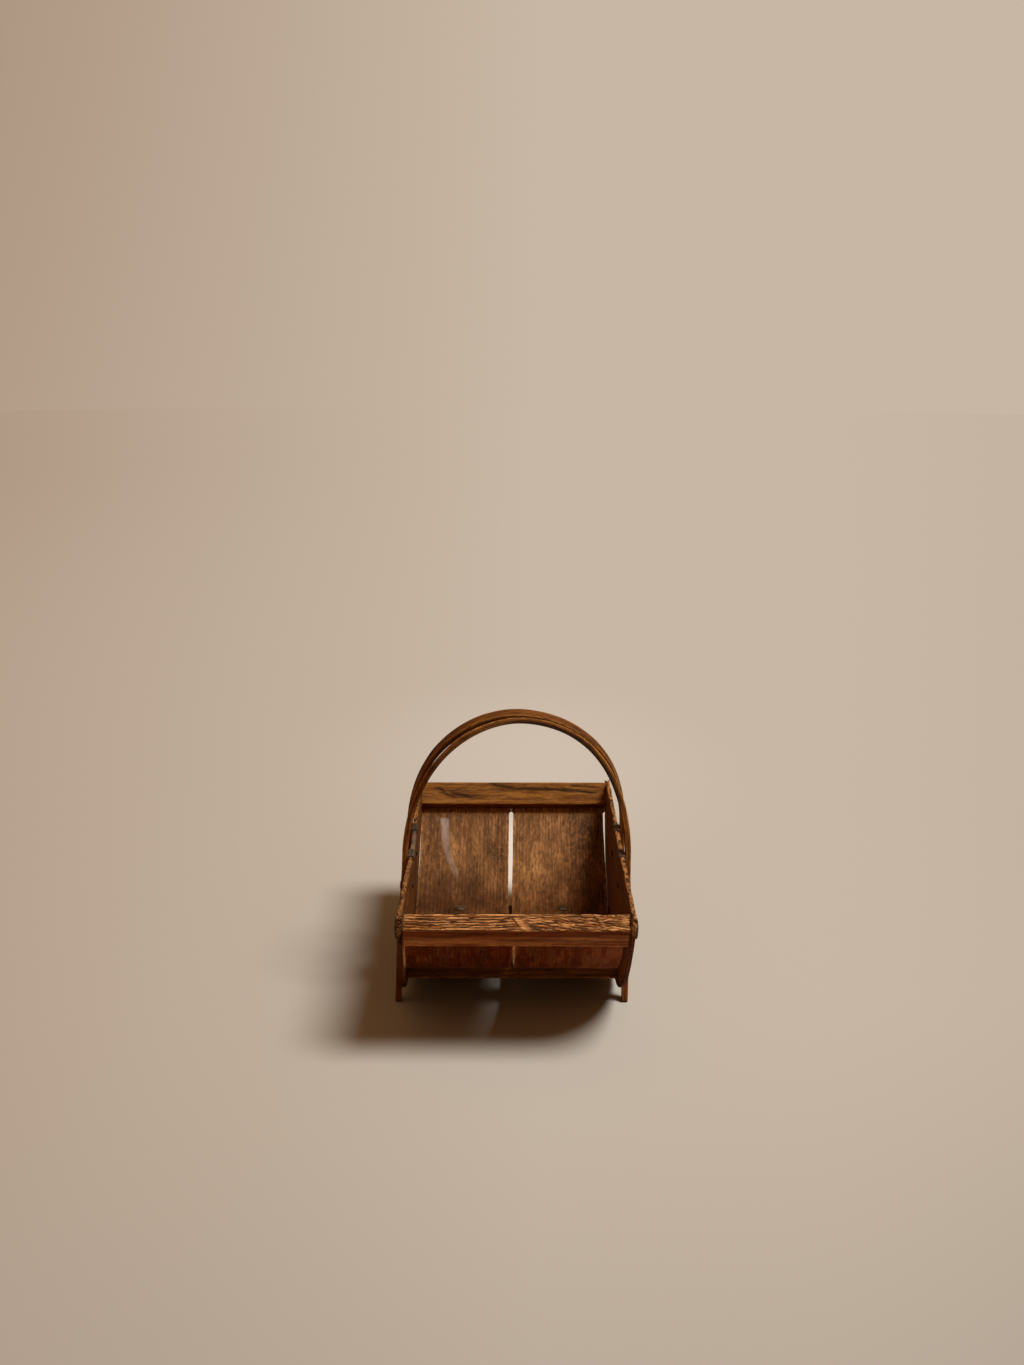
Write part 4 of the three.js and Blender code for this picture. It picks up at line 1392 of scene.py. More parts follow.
@dataclass
class Fixings:
    """The folded clips, and the round heads of the bolts, rivets and screws."""

    hoops: HandleHoops
    clip_length: float = 26.0
    inner_flange: float = 5.0
    outer_flange: float = 16.0
    rivet_drop: float = 33.5
    bolt_from_outside: float = 12.8
    screw_from_left: float = 55.6
    screw_from_right: float = 57.1
    rail_bolt: Domed = Domed(21.5, 3.0, 6.0, 45.0)
    trough_screw: Domed = Domed(13.0, 2.4, 4.0, 13.7)

    def clip(self, end: End, side: Side, seed: int) -> Surface:
        """Fold a sheet over a board's top edge: the fold's section is carried along the trough.

        The sheet's bends are parabolas, its flanges stand off the board by the seat gap, and a smooth
        noise makes dark spots on it.

        Args:
            end: The end that the clip's leg is nearer to.
            side: The side that it is on.
            seed: The seed of its dents.

        Returns:
            The clip's surface.
        """
        sheet, gap = FRAME.clip_sheet, FRAME.seat_gap
        inner, outer = FRAME.half_width - gap, FRAME.board_outer + gap
        top = FRAME.board_top + gap
        low_in, low_out = top - self.inner_flange, top - self.outer_flange
        corners = [
            Corner(inner, low_in, 0.0),
            Corner(inner, top, 0.3),
            Corner(outer, top, 0.3),
            Corner(outer, low_out, 0.0),
            Corner(outer + sheet, low_out, 0.2),
            Corner(outer + sheet, top + sheet, 1.0),
            Corner(inner - sheet, top + sheet, 1.0),
            Corner(inner - sheet, low_in, 0.2),
        ]
        loop = section_loop(corners, 0.8)
        y = np.linspace(-self.clip_length / 2, self.clip_length / 2, 40)[:, None]
        centre = self.hoops.place_y(end, FRAME.board_top)
        x, z = loop.points[None, :, 0] * side.sign, loop.points[None, :, 1]
        points = np.stack(np.broadcast_arrays(x, y + centre, z), axis=-1)
        surface = Surface(points, points.copy(), loop.wear)
        dents = Noise(seed).fractal((y + centre) / 4.0, z / 4.0 + x / 5.0, 3)
        surface.mark(Mask.DARK, ramp(dents, 0.5, 0.8))
        return surface

    @staticmethod
    def turned(profile: Profile, seed: int) -> Surface:
        """Turn a profile about x: point (i, j) lies at radius i, angle j, height i, with faint dents.

        Args:
            profile: Radius and height from the tip to the middle of the head.
            seed: The seed of the dents.

        Returns:
            The surface, whose head points along x.
        """
        profile_spacing, spokes, dent_size, dent_depth = 0.45, 48, 3.0, 0.25
        path = resampled(np.array(profile, float), profile_spacing)
        angle = np.linspace(0.0, 2 * math.pi, spokes, endpoint=False)[None, :]
        radius, height = np.maximum(path[:, :1], TIP_RADIUS), path[:, 1:]
        cosine, sine = np.cos(angle), np.sin(angle)
        dent = Noise(seed).fractal(cosine * radius / dent_size + 20.0, sine * radius / dent_size + 20.0, 3)
        head = ramp(height, 0.3, 1.0)
        lowered = height - dent_depth * head * dent
        points = np.stack(np.broadcast_arrays(lowered, radius * cosine, radius * sine), axis=-1)
        rim = hump(radius, path[:, 0].max(), 0.9) * head
        surface = Surface(points, points.copy(), rim)
        surface.mark(Mask.DARK, ramp(dent, 0.48, 0.75) * head)
        return surface

    @staticmethod
    def _outwards(surface: Surface, side: Side, x: float, y: float, z: float) -> Surface:
        """Point a turned fixing out from a board and set it at its place.

        Args:
            surface: The fixing.
            side: The side that it is on.
            x: How far from the middle its head's base stands.
            y: Its y.
            z: Its z.

        Returns:
            The fixing, moved.
        """
        sign = side.sign
        surface.points = surface.points * np.array([sign, 1.0, sign]) + np.array([sign * x, y, z])
        surface.wood = surface.points + 40.0
        return surface

    @staticmethod
    def rivet(grip: float) -> Profile:
        """Return a rivet's profile: an inner head below the grip, a shank and a low outer head."""
        inner = [(TIP_RADIUS, -1.4), (2.45, -1.4), (3.5, -0.84), (3.5, 0.0), (2.0, 0.0)]
        outer = [(2.0, 0.1), (4.6, 0.05), (5.0, 0.15), (5.0, 0.3), (4.4, 0.45), (3.6, 0.55)]
        top = [(2.4, 0.62), (1.2, 0.68), (TIP_RADIUS, 0.7)]
        return [(radius, height - grip) for radius, height in inner] + outer + top

    def build(self, sheet: Material, metal: Material, rusted: Material) -> None:
        """Make every clip, bolt, rivet and screw.

        Args:
            sheet: The finish of the clips.
            metal: The finish of the bolts, the rivets and the screws outside.
            rusted: The finish of the screws in the trough.
        """
        leg_outer = FRAME.leg_x + FRAME.hoop_thickness / 2
        bolt_x = FRAME.board_outer + FRAME.seat_gap
        bolt_y, bolt_z = FRAME.on_rail(FRAME.rail_thickness - self.bolt_from_outside, -FRAME.rail_breadth / 2)
        rivet = self.rivet(leg_outer - FRAME.half_width + FRAME.seat_gap)
        rivet_z = FRAME.rail_height - self.rivet_drop
        countersunk = [(TIP_RADIUS, -32.0), (2.0, -32.0), (2.0, -3.0), (4.4, -0.15), (4.5, 0.0)]
        countersunk.append((TIP_RADIUS, 0.0))
        for index, (end, side) in enumerate((e, s) for e in End for s in Side):
            place, seed = f"{end.value}_{side.value}", 60 + 5 * index
            mesh_piece(f"hoop_clip_{place}", self.clip(end, side, seed), sheet, Slot.CLIP, bowed=True)
            bolt = self.turned(self.rail_bolt.profile(), seed + 1)
            bolt = self._outwards(bolt, side, bolt_x, end.sign * bolt_y, bolt_z)
            mesh_piece(f"rail_bolt_{place}", bolt, metal, Slot.BOLT)
            stud = self.turned(rivet, seed + 2)
            stud = self._outwards(stud, side, leg_outer, self.hoops.place_y(end, rivet_z), rivet_z)
            mesh_piece(f"hoop_rivet_{place}", stud, metal, Slot.BOLT, bowed=True)
            screw = self._outwards(self.turned(countersunk, seed + 3), side, leg_outer, *self._bar_screw(end))
            mesh_piece(f"bar_screw_{place}", screw, metal, Slot.BOLT)
            mesh_piece(f"trough_screw_{place}", self._trough_screw(end, side, seed + 4), rusted, Slot.BOLT)

    def _trough_screw(self, end: End, side: Side, seed: int) -> Surface:
        """Turn a screw of the trough and tilt it with its panel's seat: y and z are turned by the bar angle.

        Args:
            end: The end that it is nearer to.
            side: The side that it is on.
            seed: The seed of its dents.

        Returns:
            The screw's surface.
        """
        tilt = FRAME.bar_angle
        seat_y, seat_z = FRAME.on_bend(tilt, FRAME.seat_radius - FRAME.panel_thickness / 2 - FRAME.seat_gap)
        screw = self.turned(self.trough_screw.profile(), seed)
        up, y, x = screw.parts()
        inset = self.screw_from_left if side is Side.LEFT else self.screw_from_right
        out = end.sign * (seat_y - up * math.sin(tilt) + y * math.cos(tilt))
        height = seat_z + up * math.cos(tilt) + y * math.sin(tilt)
        screw.points = np.stack([x + side.sign * (FRAME.half_width - inset), out, height], axis=-1)
        screw.wood = screw.points + 80.0
        return screw

    def _bar_screw(self, end: End) -> Pair:
        """Return y and z where a hoop's middle line crosses the middle of its bar's thickness."""
        middle_y, middle_z = FRAME.bar_middle
        from_middle = end.sign * self.hoops.place_y(end, middle_z) - middle_y
        slope = math.tan(FRAME.bar_angle)
        along = from_middle / (1 + slope * math.tan(self.hoops.lean))
        return end.sign * (middle_y + along), middle_z + along * slope


def linear(code: str) -> Colour:
    """Turn a colour written as six hexadecimal digits into linear red, green and blue."""
    parts = [int(code[i : i + 2], 16) / 255.0 for i in (0, 2, 4)]
    red, green, blue = (c / 12.92 if c <= 0.04045 else ((c + 0.055) / 1.055) ** 2.4 for c in parts)
    return red, green, blue


class Nodes:
    """Adds nodes to one shader tree and links them."""

    def __init__(self, tree: bpy.types.NodeTree) -> None:
        """Keep the tree to add to."""
        self.tree = tree
        self._count = 0

    def add(self, kind: str, inputs: dict | None = None, **settings: object) -> bpy.types.Node:
        """Add a node, set its properties and feed its inputs.

        Args:
            kind: The node's type.
            inputs: A value or an output socket for each named or numbered input.
            **settings: Properties of the node.

        Returns:
            The node.
        """
        node = self.tree.nodes.new(kind)
        node.location = (180 * (self._count % 12), -220 * (self._count // 12))
        self._count += 1
        for name, value in settings.items():
            setattr(node, name, value)
        for key, value in (inputs or {}).items():
            self.feed(node.inputs[key], value)
        return node

    def feed(self, socket: Socket, value: object) -> None:
        """Link a socket to an output, or set its value."""
        if isinstance(value, Socket):
            self.tree.links.new(value, socket)
        elif isinstance(value, tuple) and len(value) == 3 and socket.type == "RGBA":
            socket.default_value = (*value, 1.0)
        else:
            socket.default_value = value

    def feed_all(self, sockets: Sockets, **values: object) -> None:
        """Feed the named sockets, with the spaces of their names written as underscores."""
        for name, value in values.items():
            self.feed(sockets[name.replace("_", " ")], value)

    def math(self, operation: str, *values: object, clamp: bool = False) -> Socket:
        """Return the result of a math node on one to three values."""
        node = self.add("ShaderNodeMath", dict(enumerate(values)), operation=operation, use_clamp=clamp)
        return node.outputs[0]

    def times(self, first: object, second: object, *added: object, clamp: bool = False) -> Socket:
        """Return a product, plus a third value where one is given."""
        return self.math("MULTIPLY_ADD" if added else "MULTIPLY", first, second, *added, clamp=clamp)

    def vector(self, operation: str, first: object, second: object) -> Socket:
        """Return the vector that a vector math node makes of two."""
        return self.add("ShaderNodeVectorMath", {0: first, 1: second}, operation=operation).outputs[0]

    def length(self, vector: Socket) -> Socket:
        """Return the length of a vector."""
        return self.add("ShaderNodeVectorMath", {0: vector}, operation="LENGTH").outputs["Value"]

    def stretched(self, vector: Socket, x: float, y: float, z: float) -> Socket:
        """Return the vector in metres divided by three lengths in millimetres."""
        scale = (1000.0 / x, 1000.0 / y, 1000.0 / z)
        return self.vector("MULTIPLY", vector, scale)

    def noise(self, vector: Socket, detail: float = 4.0, roughness: float = 0.55) -> Socket:
        """Return fractal noise of cell size 1 at a vector."""
        inputs = {"Vector": vector, "Scale": 1.0, "Detail": detail, "Roughness": roughness}
        return self.add("ShaderNodeTexNoise", inputs).outputs["Fac"]

    def rise(self, value: object, low: float, high: float, top: float = 1.0) -> Socket:
        """Return a smooth rise from 0 at low to top at high."""
        inputs = {"Value": value, "From Min": low, "From Max": high, "To Min": 0.0, "To Max": top}
        return self.add("ShaderNodeMapRange", inputs, interpolation_type="SMOOTHSTEP").outputs["Result"]

    def blend(self, share: object, first: object, second: object, how: str = "MIX") -> Socket:
        """Return two colours mixed by a share."""
        node = self.add("ShaderNodeMix", {0: share, 6: first, 7: second}, data_type="RGBA", blend_type=how)
        return node.outputs[2]

    def mask(self, mask: Mask) -> Socket:
        """Return a mask of the surface."""
        return self.add("ShaderNodeAttribute", attribute_name=mask.value).outputs["Fac"]

    def place(self) -> Socket:
        """Return the place in the plank, which the mesh carries."""
        return self.add("ShaderNodeAttribute", attribute_name=PLACE).outputs["Vector"]

    def bump(self, height: object, distance: float, strength: float = 1.0) -> Socket:
        """Return a normal bent by a height."""
        inputs = {"Height": height, "Distance": distance, "Strength": strength}
        return self.add("ShaderNodeBump", inputs).outputs["Normal"]


class Effect:
    """A shader node group with named inputs and outputs, built once and shared by the finishes."""

    name = "effect"
    inputs: dict[str, tuple[str, object]] = {}
    outputs: dict[str, str] = {}

    def group(self) -> bpy.types.NodeTree:
        """Return the group, building it the first time.

        Returns:
            The node group.
        """
        found = bpy.data.node_groups.get(self.name)
        if found:
            return found
        tree = bpy.data.node_groups.new(self.name, "ShaderNodeTree")
        for name, (kind, default) in self.inputs.items():
            socket = tree.interface.new_socket(name, in_out="INPUT", socket_type=kind)
            if kind != "NodeSocketVector":
                socket.default_value = default
        for name, kind in self.outputs.items():
            tree.interface.new_socket(name, in_out="OUTPUT", socket_type=kind)
        nodes = Nodes(tree)
        given = nodes.add("NodeGroupInput")
        self.fill(nodes, given.outputs, nodes.add("NodeGroupOutput").inputs)
        return tree

    def fill(self, nodes: Nodes, given: Sockets, wanted: Sockets) -> None:
        """Build the group's inside; each effect has its own.

        Args:
            nodes: The group's nodes.
            given: Its inputs.
            wanted: The sockets that are to be fed.
        """
        raise NotImplementedError

    def place(self, nodes: Nodes, **values: object) -> Sockets:
        """Place the group in a material's tree.

        Args:
            nodes: The material's nodes.
            **values: A value or socket for each input, whose spaces are written as underscores.

        Returns:
            The outputs of the placed group.
        """
        node = nodes.add("ShaderNodeGroup", node_tree=self.group())
        nodes.feed_all(node.inputs, **values)
        return node.outputs


class WoodGrain(Effect):
    """Grain of a plank in its own place: streaks, growth rings, pores and slow blotches, and their relief."""

    name = "wood_grain"
    pith = (0.0, 0.031, 0.043)
    turn_per_metre = 6283.2
    inputs = {
        "Place": ("NodeSocketVector", None),
        "Ring": ("NodeSocketFloat", 3.4),
        "Waviness": ("NodeSocketFloat", 3.0),
    }
    outputs = {
        "Streak": "NodeSocketFloat",
        "Band": "NodeSocketFloat",
        "Pore": "NodeSocketFloat",
        "Blotch": "NodeSocketFloat",
        "Mottle": "NodeSocketFloat",
        "Height": "NodeSocketFloat",
    }

    def fill(self, nodes: Nodes, given: Sockets, wanted: Sockets) -> None:
        """Sum stretched noises in a place that slow noise has pushed sideways.

        Rings are a sine of the distance from a far pith over the ring width, with one turn of 2 pi for
        each ring. Pores are short dashes where a fine stretched noise is high.
        """
        place = given["Place"]
        slow = {"Vector": nodes.stretched(place, 70, 18, 18), "Scale": 1.0, "Detail": 2.0}
        sway = nodes.add("ShaderNodeTexNoise", slow).outputs["Color"]
        centred = nodes.vector("SUBTRACT", sway, (0.5, 0.5, 0.5))
        spread = nodes.vector("MULTIPLY", centred, (0.0, MILLIMETRE, MILLIMETRE))
        waves = {0: spread, "Scale": given["Waviness"]}
        shift = nodes.add("ShaderNodeVectorMath", waves, operation="SCALE").outputs[0]
        swayed = nodes.vector("ADD", place, shift)
        streak = nodes.noise(nodes.stretched(swayed, 26, 2.1, 2.1), 5.0, 0.62)
        fibre = nodes.noise(nodes.stretched(swayed, 11, 0.55, 0.55), 3.0, 0.6)
        from_pith = nodes.vector("ADD", nodes.vector("MULTIPLY", swayed, (0.0, 1.0, 1.0)), self.pith)
        around = nodes.times(nodes.length(from_pith), self.turn_per_metre)
        turns = nodes.math("DIVIDE", around, given["Ring"])
        uneven = nodes.times(nodes.noise(nodes.stretched(swayed, 90, 9, 9), 2.0), 9.0, turns)
        band = nodes.times(nodes.math("SINE", uneven), 0.5, 0.5)
        dashes = nodes.noise(nodes.stretched(swayed, 6.5, 0.75, 0.75), 2.0, 0.5)
        pore = nodes.times(nodes.rise(dashes, 0.55, 0.7), nodes.rise(band, 0.1, 0.9))
        blotch = nodes.noise(nodes.stretched(place, 60, 21, 21), 3.0, 0.6)
        height = nodes.times(streak, 0.55, nodes.times(fibre, 0.45))
        height = nodes.times(pore, -0.55, height)
        nodes.feed_all(
            wanted,
            Streak=nodes.times(fibre, 0.3, nodes.times(streak, 0.7)),
            Band=band,
            Pore=pore,
            Blotch=blotch,
            Mottle=nodes.noise(nodes.stretched(swayed, 12, 5, 5), 6.0, 0.72),
            Height=height,
        )


class WeatheringAndPaintedLight(Effect):
    """Marks over a stained colour: dark pits and painted shade, bare patches and painted highlights, worn
    edges.
    """

    name = "weathering_and_painted_light"
    inputs = {
        "Colour": ("NodeSocketColor", (0.5, 0.5, 0.5, 1.0)),
        "Deep": ("NodeSocketColor", (0.1, 0.1, 0.1, 1.0)),
        "Bare": ("NodeSocketColor", (0.8, 0.8, 0.8, 1.0)),
        "Place": ("NodeSocketVector", None),
        "Wear": ("NodeSocketFloat", 0.0),
        "PatchAndHighlight": ("NodeSocketFloat", 0.0),
        "Pit": ("NodeSocketFloat", 0.0),
    }
    outputs = {"Colour": "NodeSocketColor", "Rough": "NodeSocketFloat"}

    def fill(self, nodes: Nodes, given: Sockets, wanted: Sockets) -> None:
        """Break the masks up with fine noise, then lay them over the colour one after the other."""
        speckle = nodes.noise(nodes.stretched(given["Place"], 9, 2.2, 2.2), 4.0, 0.65)
        worn = nodes.times(given["Wear"], nodes.rise(speckle, 0.36, 0.62), clamp=True)
        # The patch mask holds bare patches and painted highlights alike.
        bare = nodes.times(given["PatchAndHighlight"], nodes.rise(speckle, 0.28, 0.6), clamp=True)
        lifted = nodes.blend(nodes.times(worn, 0.75), given["Colour"], given["Bare"])
        lifted = nodes.blend(bare, lifted, given["Bare"])
        # The pit mask holds dark pits and painted shade alike.
        pitted_and_shaded = nodes.blend(nodes.times(given["Pit"], 0.86, clamp=True), lifted, given["Deep"])
        rough = nodes.times(given["Pit"], 0.14, nodes.times(bare, 0.08))
        nodes.feed_all(wanted, Colour=pitted_and_shaded, Rough=rough)


class Patina(Effect):
    """Tarnish of old metal: mottled dark film, dull bloom and rubbed high places, with a hammered relief."""

    name = "patina"
    inputs = {
        "Place": ("NodeSocketVector", None),
        "Wear": ("NodeSocketFloat", 0.0),
        "Pit": ("NodeSocketFloat", 0.0),
    }
    outputs = {"Film": "NodeSocketFloat", "Rub": "NodeSocketFloat", "Height": "NodeSocketFloat"}

    def fill(self, nodes: Nodes, given: Sockets, wanted: Sockets) -> None:
        """Mix two scales of noise into the film, and let wear rub through where the fine one is high."""
        coarse = nodes.noise(nodes.stretched(given["Place"], 6, 6, 6), 3.0, 0.6)
        fine = nodes.noise(nodes.stretched(given["Place"], 1.3, 1.3, 1.3), 3.0, 0.6)
        film = nodes.times(fine, 0.35, nodes.times(coarse, 0.65))
        film = nodes.times(given["Pit"], 0.35, film)
        rubbed = nodes.times(given["Wear"], nodes.rise(fine, 0.4, 0.65), clamp=True)
        height = nodes.times(fine, 0.4, coarse)
        nodes.feed_all(wanted, Film=nodes.rise(film, 0.35, 0.75), Rub=rubbed, Height=height)


GRAIN = WoodGrain()
WEATHERING_AND_PAINTED_LIGHT = WeatheringAndPaintedLight()
PATINA = Patina()


def new_material(name: str) -> tuple[Material, Nodes, bpy.types.Node]:
    """Make an empty material with one Principled shader.

    Args:
        name: The material's name.

    Returns:
        The material, its nodes and its shader.
    """
    material = bpy.data.materials.new(name)
    material.use_nodes = True
    material.node_tree.nodes.clear()
    nodes = Nodes(material.node_tree)
    shader = nodes.add("ShaderNodeBsdfPrincipled")
    nodes.add("ShaderNodeOutputMaterial", {"Surface": shader.outputs[0]})
    return material, nodes, shader


@dataclass(frozen=True)
class WoodFinish:
    """A stained wood: its colours from the deepest pore to the barest patch, and how lively its grain is."""

    name: str
    deep: str
    dark: str
    middle: str
    light: str
    # Also the colour of painted highlights.
    bare: str
    # Mostly painted shade: the warm dark colour multiplied in where faces turn from the light.
    stain: str = "ae7340"
    # Also the colour of a painted highlight on a lit edge.
    scuff: str = "ab8e79"
    ring: float = 3.4
    waviness: float = 3.0
    streaks: float = 1.5
    bands: float = 0.35
    blotches: float = 0.8
    mottle: float = 0.0
    pores: float = 0.6
    roughness: float = 0.62
    relief: float = 0.00035
    gloss: float = 0.15
    scuffed: bool = False

    def make(self) -> Material:
        """Build the material.

        The tone is one half plus the weighted distances of streak, band and blotch from their middles,
        and picks a colour between dark, middle and light. Pores, pits and painted shade, wear, bare patches
        and painted highlights lie over it, and a warm dark colour multiplies in more painted shade.

        Returns:
            The material.
        """
        material, nodes, shader = new_material(self.name)
        place = nodes.place()
        grain = GRAIN.place(nodes, Place=place, Ring=self.ring, Waviness=self.waviness)
        tone: object = 0.5
        weights = {"Streak": self.streaks, "Band": self.bands, "Blotch": self.blotches, "Mottle": self.mottle}
        for part, share in weights.items():
            off = nodes.math("SUBTRACT", grain[part], 0.5)
            tone = nodes.times(off, share, tone)
        colour = nodes.blend(nodes.rise(tone, 0.0, 0.5), linear(self.dark), linear(self.middle))
        colour = nodes.blend(nodes.rise(tone, 0.5, 1.0), colour, linear(self.light))
        colour = nodes.blend(nodes.times(grain["Pore"], self.pores), colour, linear(self.deep))
        weathered_and_lit = WEATHERING_AND_PAINTED_LIGHT.place(
            nodes,
            Colour=colour,
            Deep=linear(self.deep),
            Bare=linear(self.bare),
            Place=place,
            Wear=nodes.mask(Mask.WEAR),
            PatchAndHighlight=nodes.mask(Mask.BARE_AND_HIGHLIGHT),
            Pit=nodes.mask(Mask.DARK),
        )
        colour = weathered_and_lit["Colour"]
        rough = nodes.math("ADD", weathered_and_lit["Rough"], self.roughness)
        rough = nodes.times(grain["Streak"], 0.12, rough)
        # Painted shade: a warm dark colour is multiplied in on faces turned from the light.
        colour = nodes.blend(nodes.mask(Mask.STAIN_AND_SHADE), colour, linear(self.stain), "MULTIPLY")
        # The scuff mask also lays a painted highlight on a lit edge.
        if self.scuffed:
            scuff = nodes.mask(Mask.SCUFF_AND_HIGHLIGHT)
            colour = nodes.blend(scuff, colour, linear(self.scuff))
            rough = nodes.times(scuff, -0.08, rough)
        normal = nodes.bump(grain["Height"], self.relief)
        shader.inputs["Specular IOR Level"].default_value = self.gloss
        gloss = nodes.times(nodes.mask(Mask.STAIN_AND_SHADE), -0.12, self.gloss)
        nodes.feed_all(shader.inputs, Base_Color=colour, Roughness=rough, Normal=normal)
        nodes.feed(shader.inputs["Specular IOR Level"], gloss)
        return material


@dataclass(frozen=True)
class MetalFinish:
    """An old metal: its film, its body and its rubbed colour."""

    name: str
    film: str
    body: str
    rubbed: str
    roughness: float = 0.52
    metallic: float = 0.7
    relief: float = 0.00025

    def make(self) -> Material:
        """Build the material.

        Returns:
            The material.
        """
        material, nodes, shader = new_material(self.name)
        place = nodes.place()
        patina = PATINA.place(nodes, Place=place, Wear=nodes.mask(Mask.WEAR), Pit=nodes.mask(Mask.DARK))
        colour = nodes.blend(patina["Film"], linear(self.body), linear(self.film))
        colour = nodes.blend(patina["Rub"], colour, linear(self.rubbed))
        rough = nodes.times(patina["Film"], 0.22, self.roughness)
        metal = nodes.times(patina["Film"], -0.35 * self.metallic, self.metallic)
        normal = nodes.bump(patina["Height"], self.relief)
        nodes.feed_all(shader.inputs, Base_Color=colour, Roughness=rough, Metallic=metal, Normal=normal)
        return material


BOARD_WOOD = WoodFinish(
    "stained_board_wood", "150700", "3a1b06", "6c3a12", "985b22", "bd7c42",
    ring=3.6, streaks=2.2, bands=0.3, pores=0.55, scuffed=True,
)
RAIL_WOOD = WoodFinish(
    "stained_rail_wood", "1c0c03", "5a2b09", "964f18", "bc7029", "f8ad66",
    ring=4.6, waviness=6.0, streaks=1.4, bands=0.4, blotches=0.5,
)
GOLDEN_WOOD = WoodFinish(
    "golden_rail_wood", "150700", "482205", "82480e", "a36418", "b87a38",
    ring=5.2, waviness=9.0, streaks=1.8, bands=0.5, mottle=0.5,
)
PANEL_WOOD = WoodFinish(
    "stained_panel_wood", "1c0d05", "472910", "79481f", "ab7040", "cd8a4c",
    streaks=1.7, bands=0.25, blotches=1.5, mottle=1.1, scuffed=True,
)
HOOP_WOOD = WoodFinish(
    "stained_hoop_wood", "1a0900", "402006", "713b0e", "985b21", "b4742e",
    ring=2.6, streaks=2.4, bands=0.5,
)
CLIP_METAL = MetalFinish("aged_clip_metal", "2c2114", "54412a", "8a7050", roughness=0.5, metallic=0.6)
BOLT_METAL = MetalFinish("aged_bolt_metal", "1b170b", "3a321d", "6e603f", roughness=0.52, metallic=0.5)
SCREW_METAL = MetalFinish("rusted_screw_metal", "38240f", "6b4a28", "80603c", roughness=0.62, metallic=0.25)


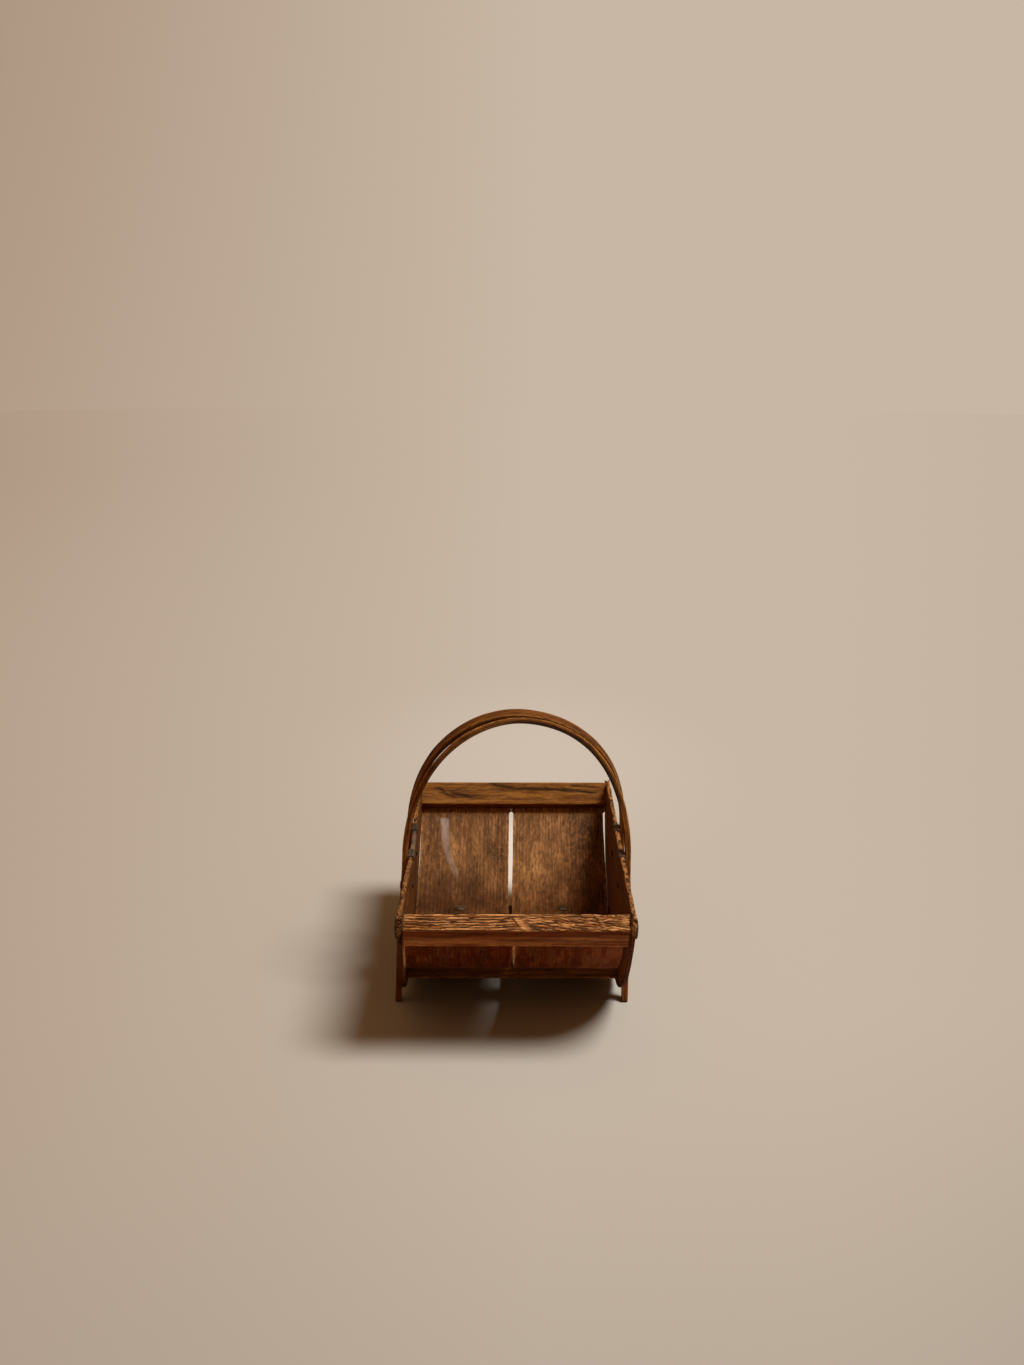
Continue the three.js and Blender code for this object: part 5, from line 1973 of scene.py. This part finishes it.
@dataclass(frozen=True)
class Studio:
    """The seamless floor, the soft key light from the right and front, and the warm fill."""

    # Floor tones: pool and behind are painted pools of light behind the trug, and left and near its painted
    # fall-off.
    floor: str = "c8b7a4"
    pool: str = "cfbeac"
    behind: str = "ecdcc8"
    left: str = "ac9480"
    near: str = "ab9b8b"
    fill: Colour = (0.215, 0.130, 0.066)
    towards_key: tuple[float, float, float] = (0.4589, -0.1992, 0.8659)
    key_angle: float = math.radians(26.0)
    key_colour: Colour = (0.79, 0.875, 0.94)
    floor_radius: float = 9.0
    rings: int = 40
    spokes: int = 96

    def build(self) -> None:
        """Make the floor, the key and the world."""
        self._floor()
        self._key()
        self._world()

    def _key(self) -> None:
        """Make the key: a sun as wide as a large soft box, at a plain level on the floor.

        That level is pi over the sine of the sun's height, which is its direction's z.
        """
        data = bpy.data.lights.new("soft_key", "SUN")
        data.energy = math.pi / self.towards_key[2]
        data.color = self.key_colour
        data.angle = self.key_angle
        key = in_scene("soft_key", data)
        key.rotation_euler = Vector([-v for v in self.towards_key]).to_track_quat("-Z", "Y").to_euler()

    def _world(self) -> None:
        """Fill the shadows warmly, and show the camera a backdrop painted darker to the left, as light falls
        off.
        """
        world = bpy.data.worlds.new("studio")
        world.use_nodes = True
        world.node_tree.nodes.clear()
        nodes = Nodes(world.node_tree)
        direction = nodes.add("ShaderNodeTexCoord").outputs["Generated"]
        x, _, z = nodes.add("ShaderNodeSeparateXYZ", {0: direction}).outputs
        slope = nodes.times(z, 4.0, 3.1)
        left = nodes.times(nodes.math("SUBTRACT", 0.02, x), slope, clamp=True)
        backdrop = nodes.blend(left, linear(self.floor), linear(self.left))
        fill = nodes.add("ShaderNodeBackground", {"Color": self.fill, "Strength": 1.0})
        seen = nodes.add("ShaderNodeBackground", {"Color": backdrop, "Strength": 1.0})
        camera = nodes.add("ShaderNodeLightPath").outputs["Is Camera Ray"]
        mixed = nodes.add("ShaderNodeMixShader", {0: camera, 1: fill.outputs[0], 2: seen.outputs[0]})
        nodes.add("ShaderNodeOutputWorld", {"Surface": mixed.outputs[0]})
        bpy.context.scene.world = world

    def _floor(self) -> None:
        """Make a wide round floor that fades, for the camera, into the backdrop's colour.

        The floor's points lie on rings whose radii grow as the square of their number.
        """
        rings, spokes = self.rings, self.spokes
        radius = self.floor_radius * (np.arange(rings + 1) / rings)[:, None] ** 2
        angle = np.linspace(0.0, 2 * math.pi, spokes, endpoint=False)[None, :]
        points = np.stack([radius * np.cos(angle), radius * np.sin(angle), 0.0 * radius * angle], axis=-1)
        grid = np.arange((rings + 1) * spokes).reshape(rings + 1, spokes)
        beside = np.roll(grid, -1, axis=1)
        quads = np.stack([grid[:-1], grid[1:], beside[1:], beside[:-1]], axis=-1).reshape(-1, 4)
        mesh = bpy.data.meshes.new("studio_floor")
        faces = (quads[spokes:] - spokes).tolist() + [list(range(spokes))]
        mesh.from_pydata(points[1:].reshape(-1, 3).tolist(), [], faces)
        mesh.update()
        floor = in_scene("studio_floor", mesh)
        mesh.materials.append(self._floor_finish())

    def _floor_finish(self) -> Material:
        """Return the floor's material: plain paper near the trug that glows, for the camera, far from it.

        The tone falls off evenly to the left and towards the viewer, as under one soft light, and a faint
        pool of light lies behind the trug, brightest where only the slits show it. Each pool rises with
        one number less the distance from its middle, stretched along x and y.

        Returns:
            The material.
        """
        material, nodes, shader = new_material("seamless_paper")
        place = nodes.add("ShaderNodeTexCoord").outputs["Object"]
        x, y, _ = nodes.add("ShaderNodeSeparateXYZ", {0: place}).outputs
        distance = nodes.length(place)
        widening = nodes.math("MAXIMUM", nodes.times(y, 0.45, 1.0), 0.4)
        spread = nodes.math("DIVIDE", x, widening)
        slope = nodes.math("ADD", nodes.rise(y, 0.5, 6.0, 0.4), 1.0)
        left = nodes.times(nodes.math("SUBTRACT", 0.03, spread), slope, clamp=True)
        right = nodes.rise(spread, 0.3, 1.0, 0.35)
        near = nodes.rise(nodes.times(y, -1.0), 0.0, 1.5, 0.8)
        tone: object = linear(self.floor)
        for colour, middle, size, full, soft in (
            (self.pool, (0.0, -0.95, 0.0), (3.0, 1.7, 0.0), 1.3, 1.1),
            (self.behind, (0.0, -0.43, 0.0), (6.0, 3.4, 0.0), 1.0, 0.7),
        ):
            away = nodes.length(nodes.vector("MULTIPLY", nodes.vector("ADD", place, middle), size))
            lit = nodes.rise(nodes.math("SUBTRACT", full, away), 0.0, soft)
            tone = nodes.blend(lit, tone, linear(colour))
        tone = nodes.blend(left, tone, linear(self.left))
        tone = nodes.blend(nodes.math("ADD", near, right, clamp=True), tone, linear(self.near))
        nodes.feed_all(shader.inputs, Base_Color=tone, Roughness=0.9, Specular_IOR_Level=0.1)
        glow = nodes.add("ShaderNodeEmission", {"Color": tone, "Strength": 1.0})
        camera = nodes.add("ShaderNodeLightPath").outputs["Is Camera Ray"]
        share = nodes.times(camera, nodes.rise(distance, 0.55, 1.1))
        mixed = nodes.add("ShaderNodeMixShader", {0: share, 1: shader.outputs[0], 2: glow.outputs[0]})
        output = next(node for node in nodes.tree.nodes if node.type == "OUTPUT_MATERIAL")
        nodes.feed(output.inputs["Surface"], mixed.outputs[0])
        return material


@dataclass(frozen=True)
class Viewpoint:
    """The camera of the photograph, in metres, radians and pixels."""

    location: tuple[float, float, float] = (-0.01328, -2.14787, 0.83054)
    pitch: float = 0.21851
    turn: float = 0.00493
    roll: float = 0.00336
    focal_pixels: float = 1900.0

    def place(self) -> None:
        """Create the camera and make it the scene's own."""
        data = bpy.data.cameras.new("photo_camera")
        data.sensor_fit = "HORIZONTAL"
        data.sensor_width = 36.0
        data.lens = self.focal_pixels / IMAGE_WIDTH * data.sensor_width
        camera = in_scene("photo_camera", data)
        turned = Matrix.Rotation(-self.turn, 4, "Z") @ Matrix.Rotation(math.pi / 2 - self.pitch, 4, "X")
        camera.matrix_world = Matrix.Translation(self.location) @ turned @ Matrix.Rotation(self.roll, 4, "Z")
        bpy.context.scene.camera = camera


def main() -> None:
    """Build the trug, its finishes, the studio and the camera."""
    logging.basicConfig(level=logging.INFO, format="%(name)s: %(message)s")
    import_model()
    Viewpoint().place()
    boards, panels, strips = (finish.make() for finish in (BOARD_WOOD, PANEL_WOOD, HOOP_WOOD))
    SideBoards().build(boards)
    EndRails().build({End.FRONT: RAIL_WOOD.make(), End.BACK: GOLDEN_WOOD.make()})
    TroughPanels().build(panels)
    BottomBars().build(boards)
    hoops = HandleHoops()
    hoops.build(strips)
    Fixings(hoops).build(CLIP_METAL.make(), BOLT_METAL.make(), SCREW_METAL.make())
    Studio().build()
    bpy.context.scene.view_settings.view_transform = "Standard"


if __name__ == "__main__":
    main()
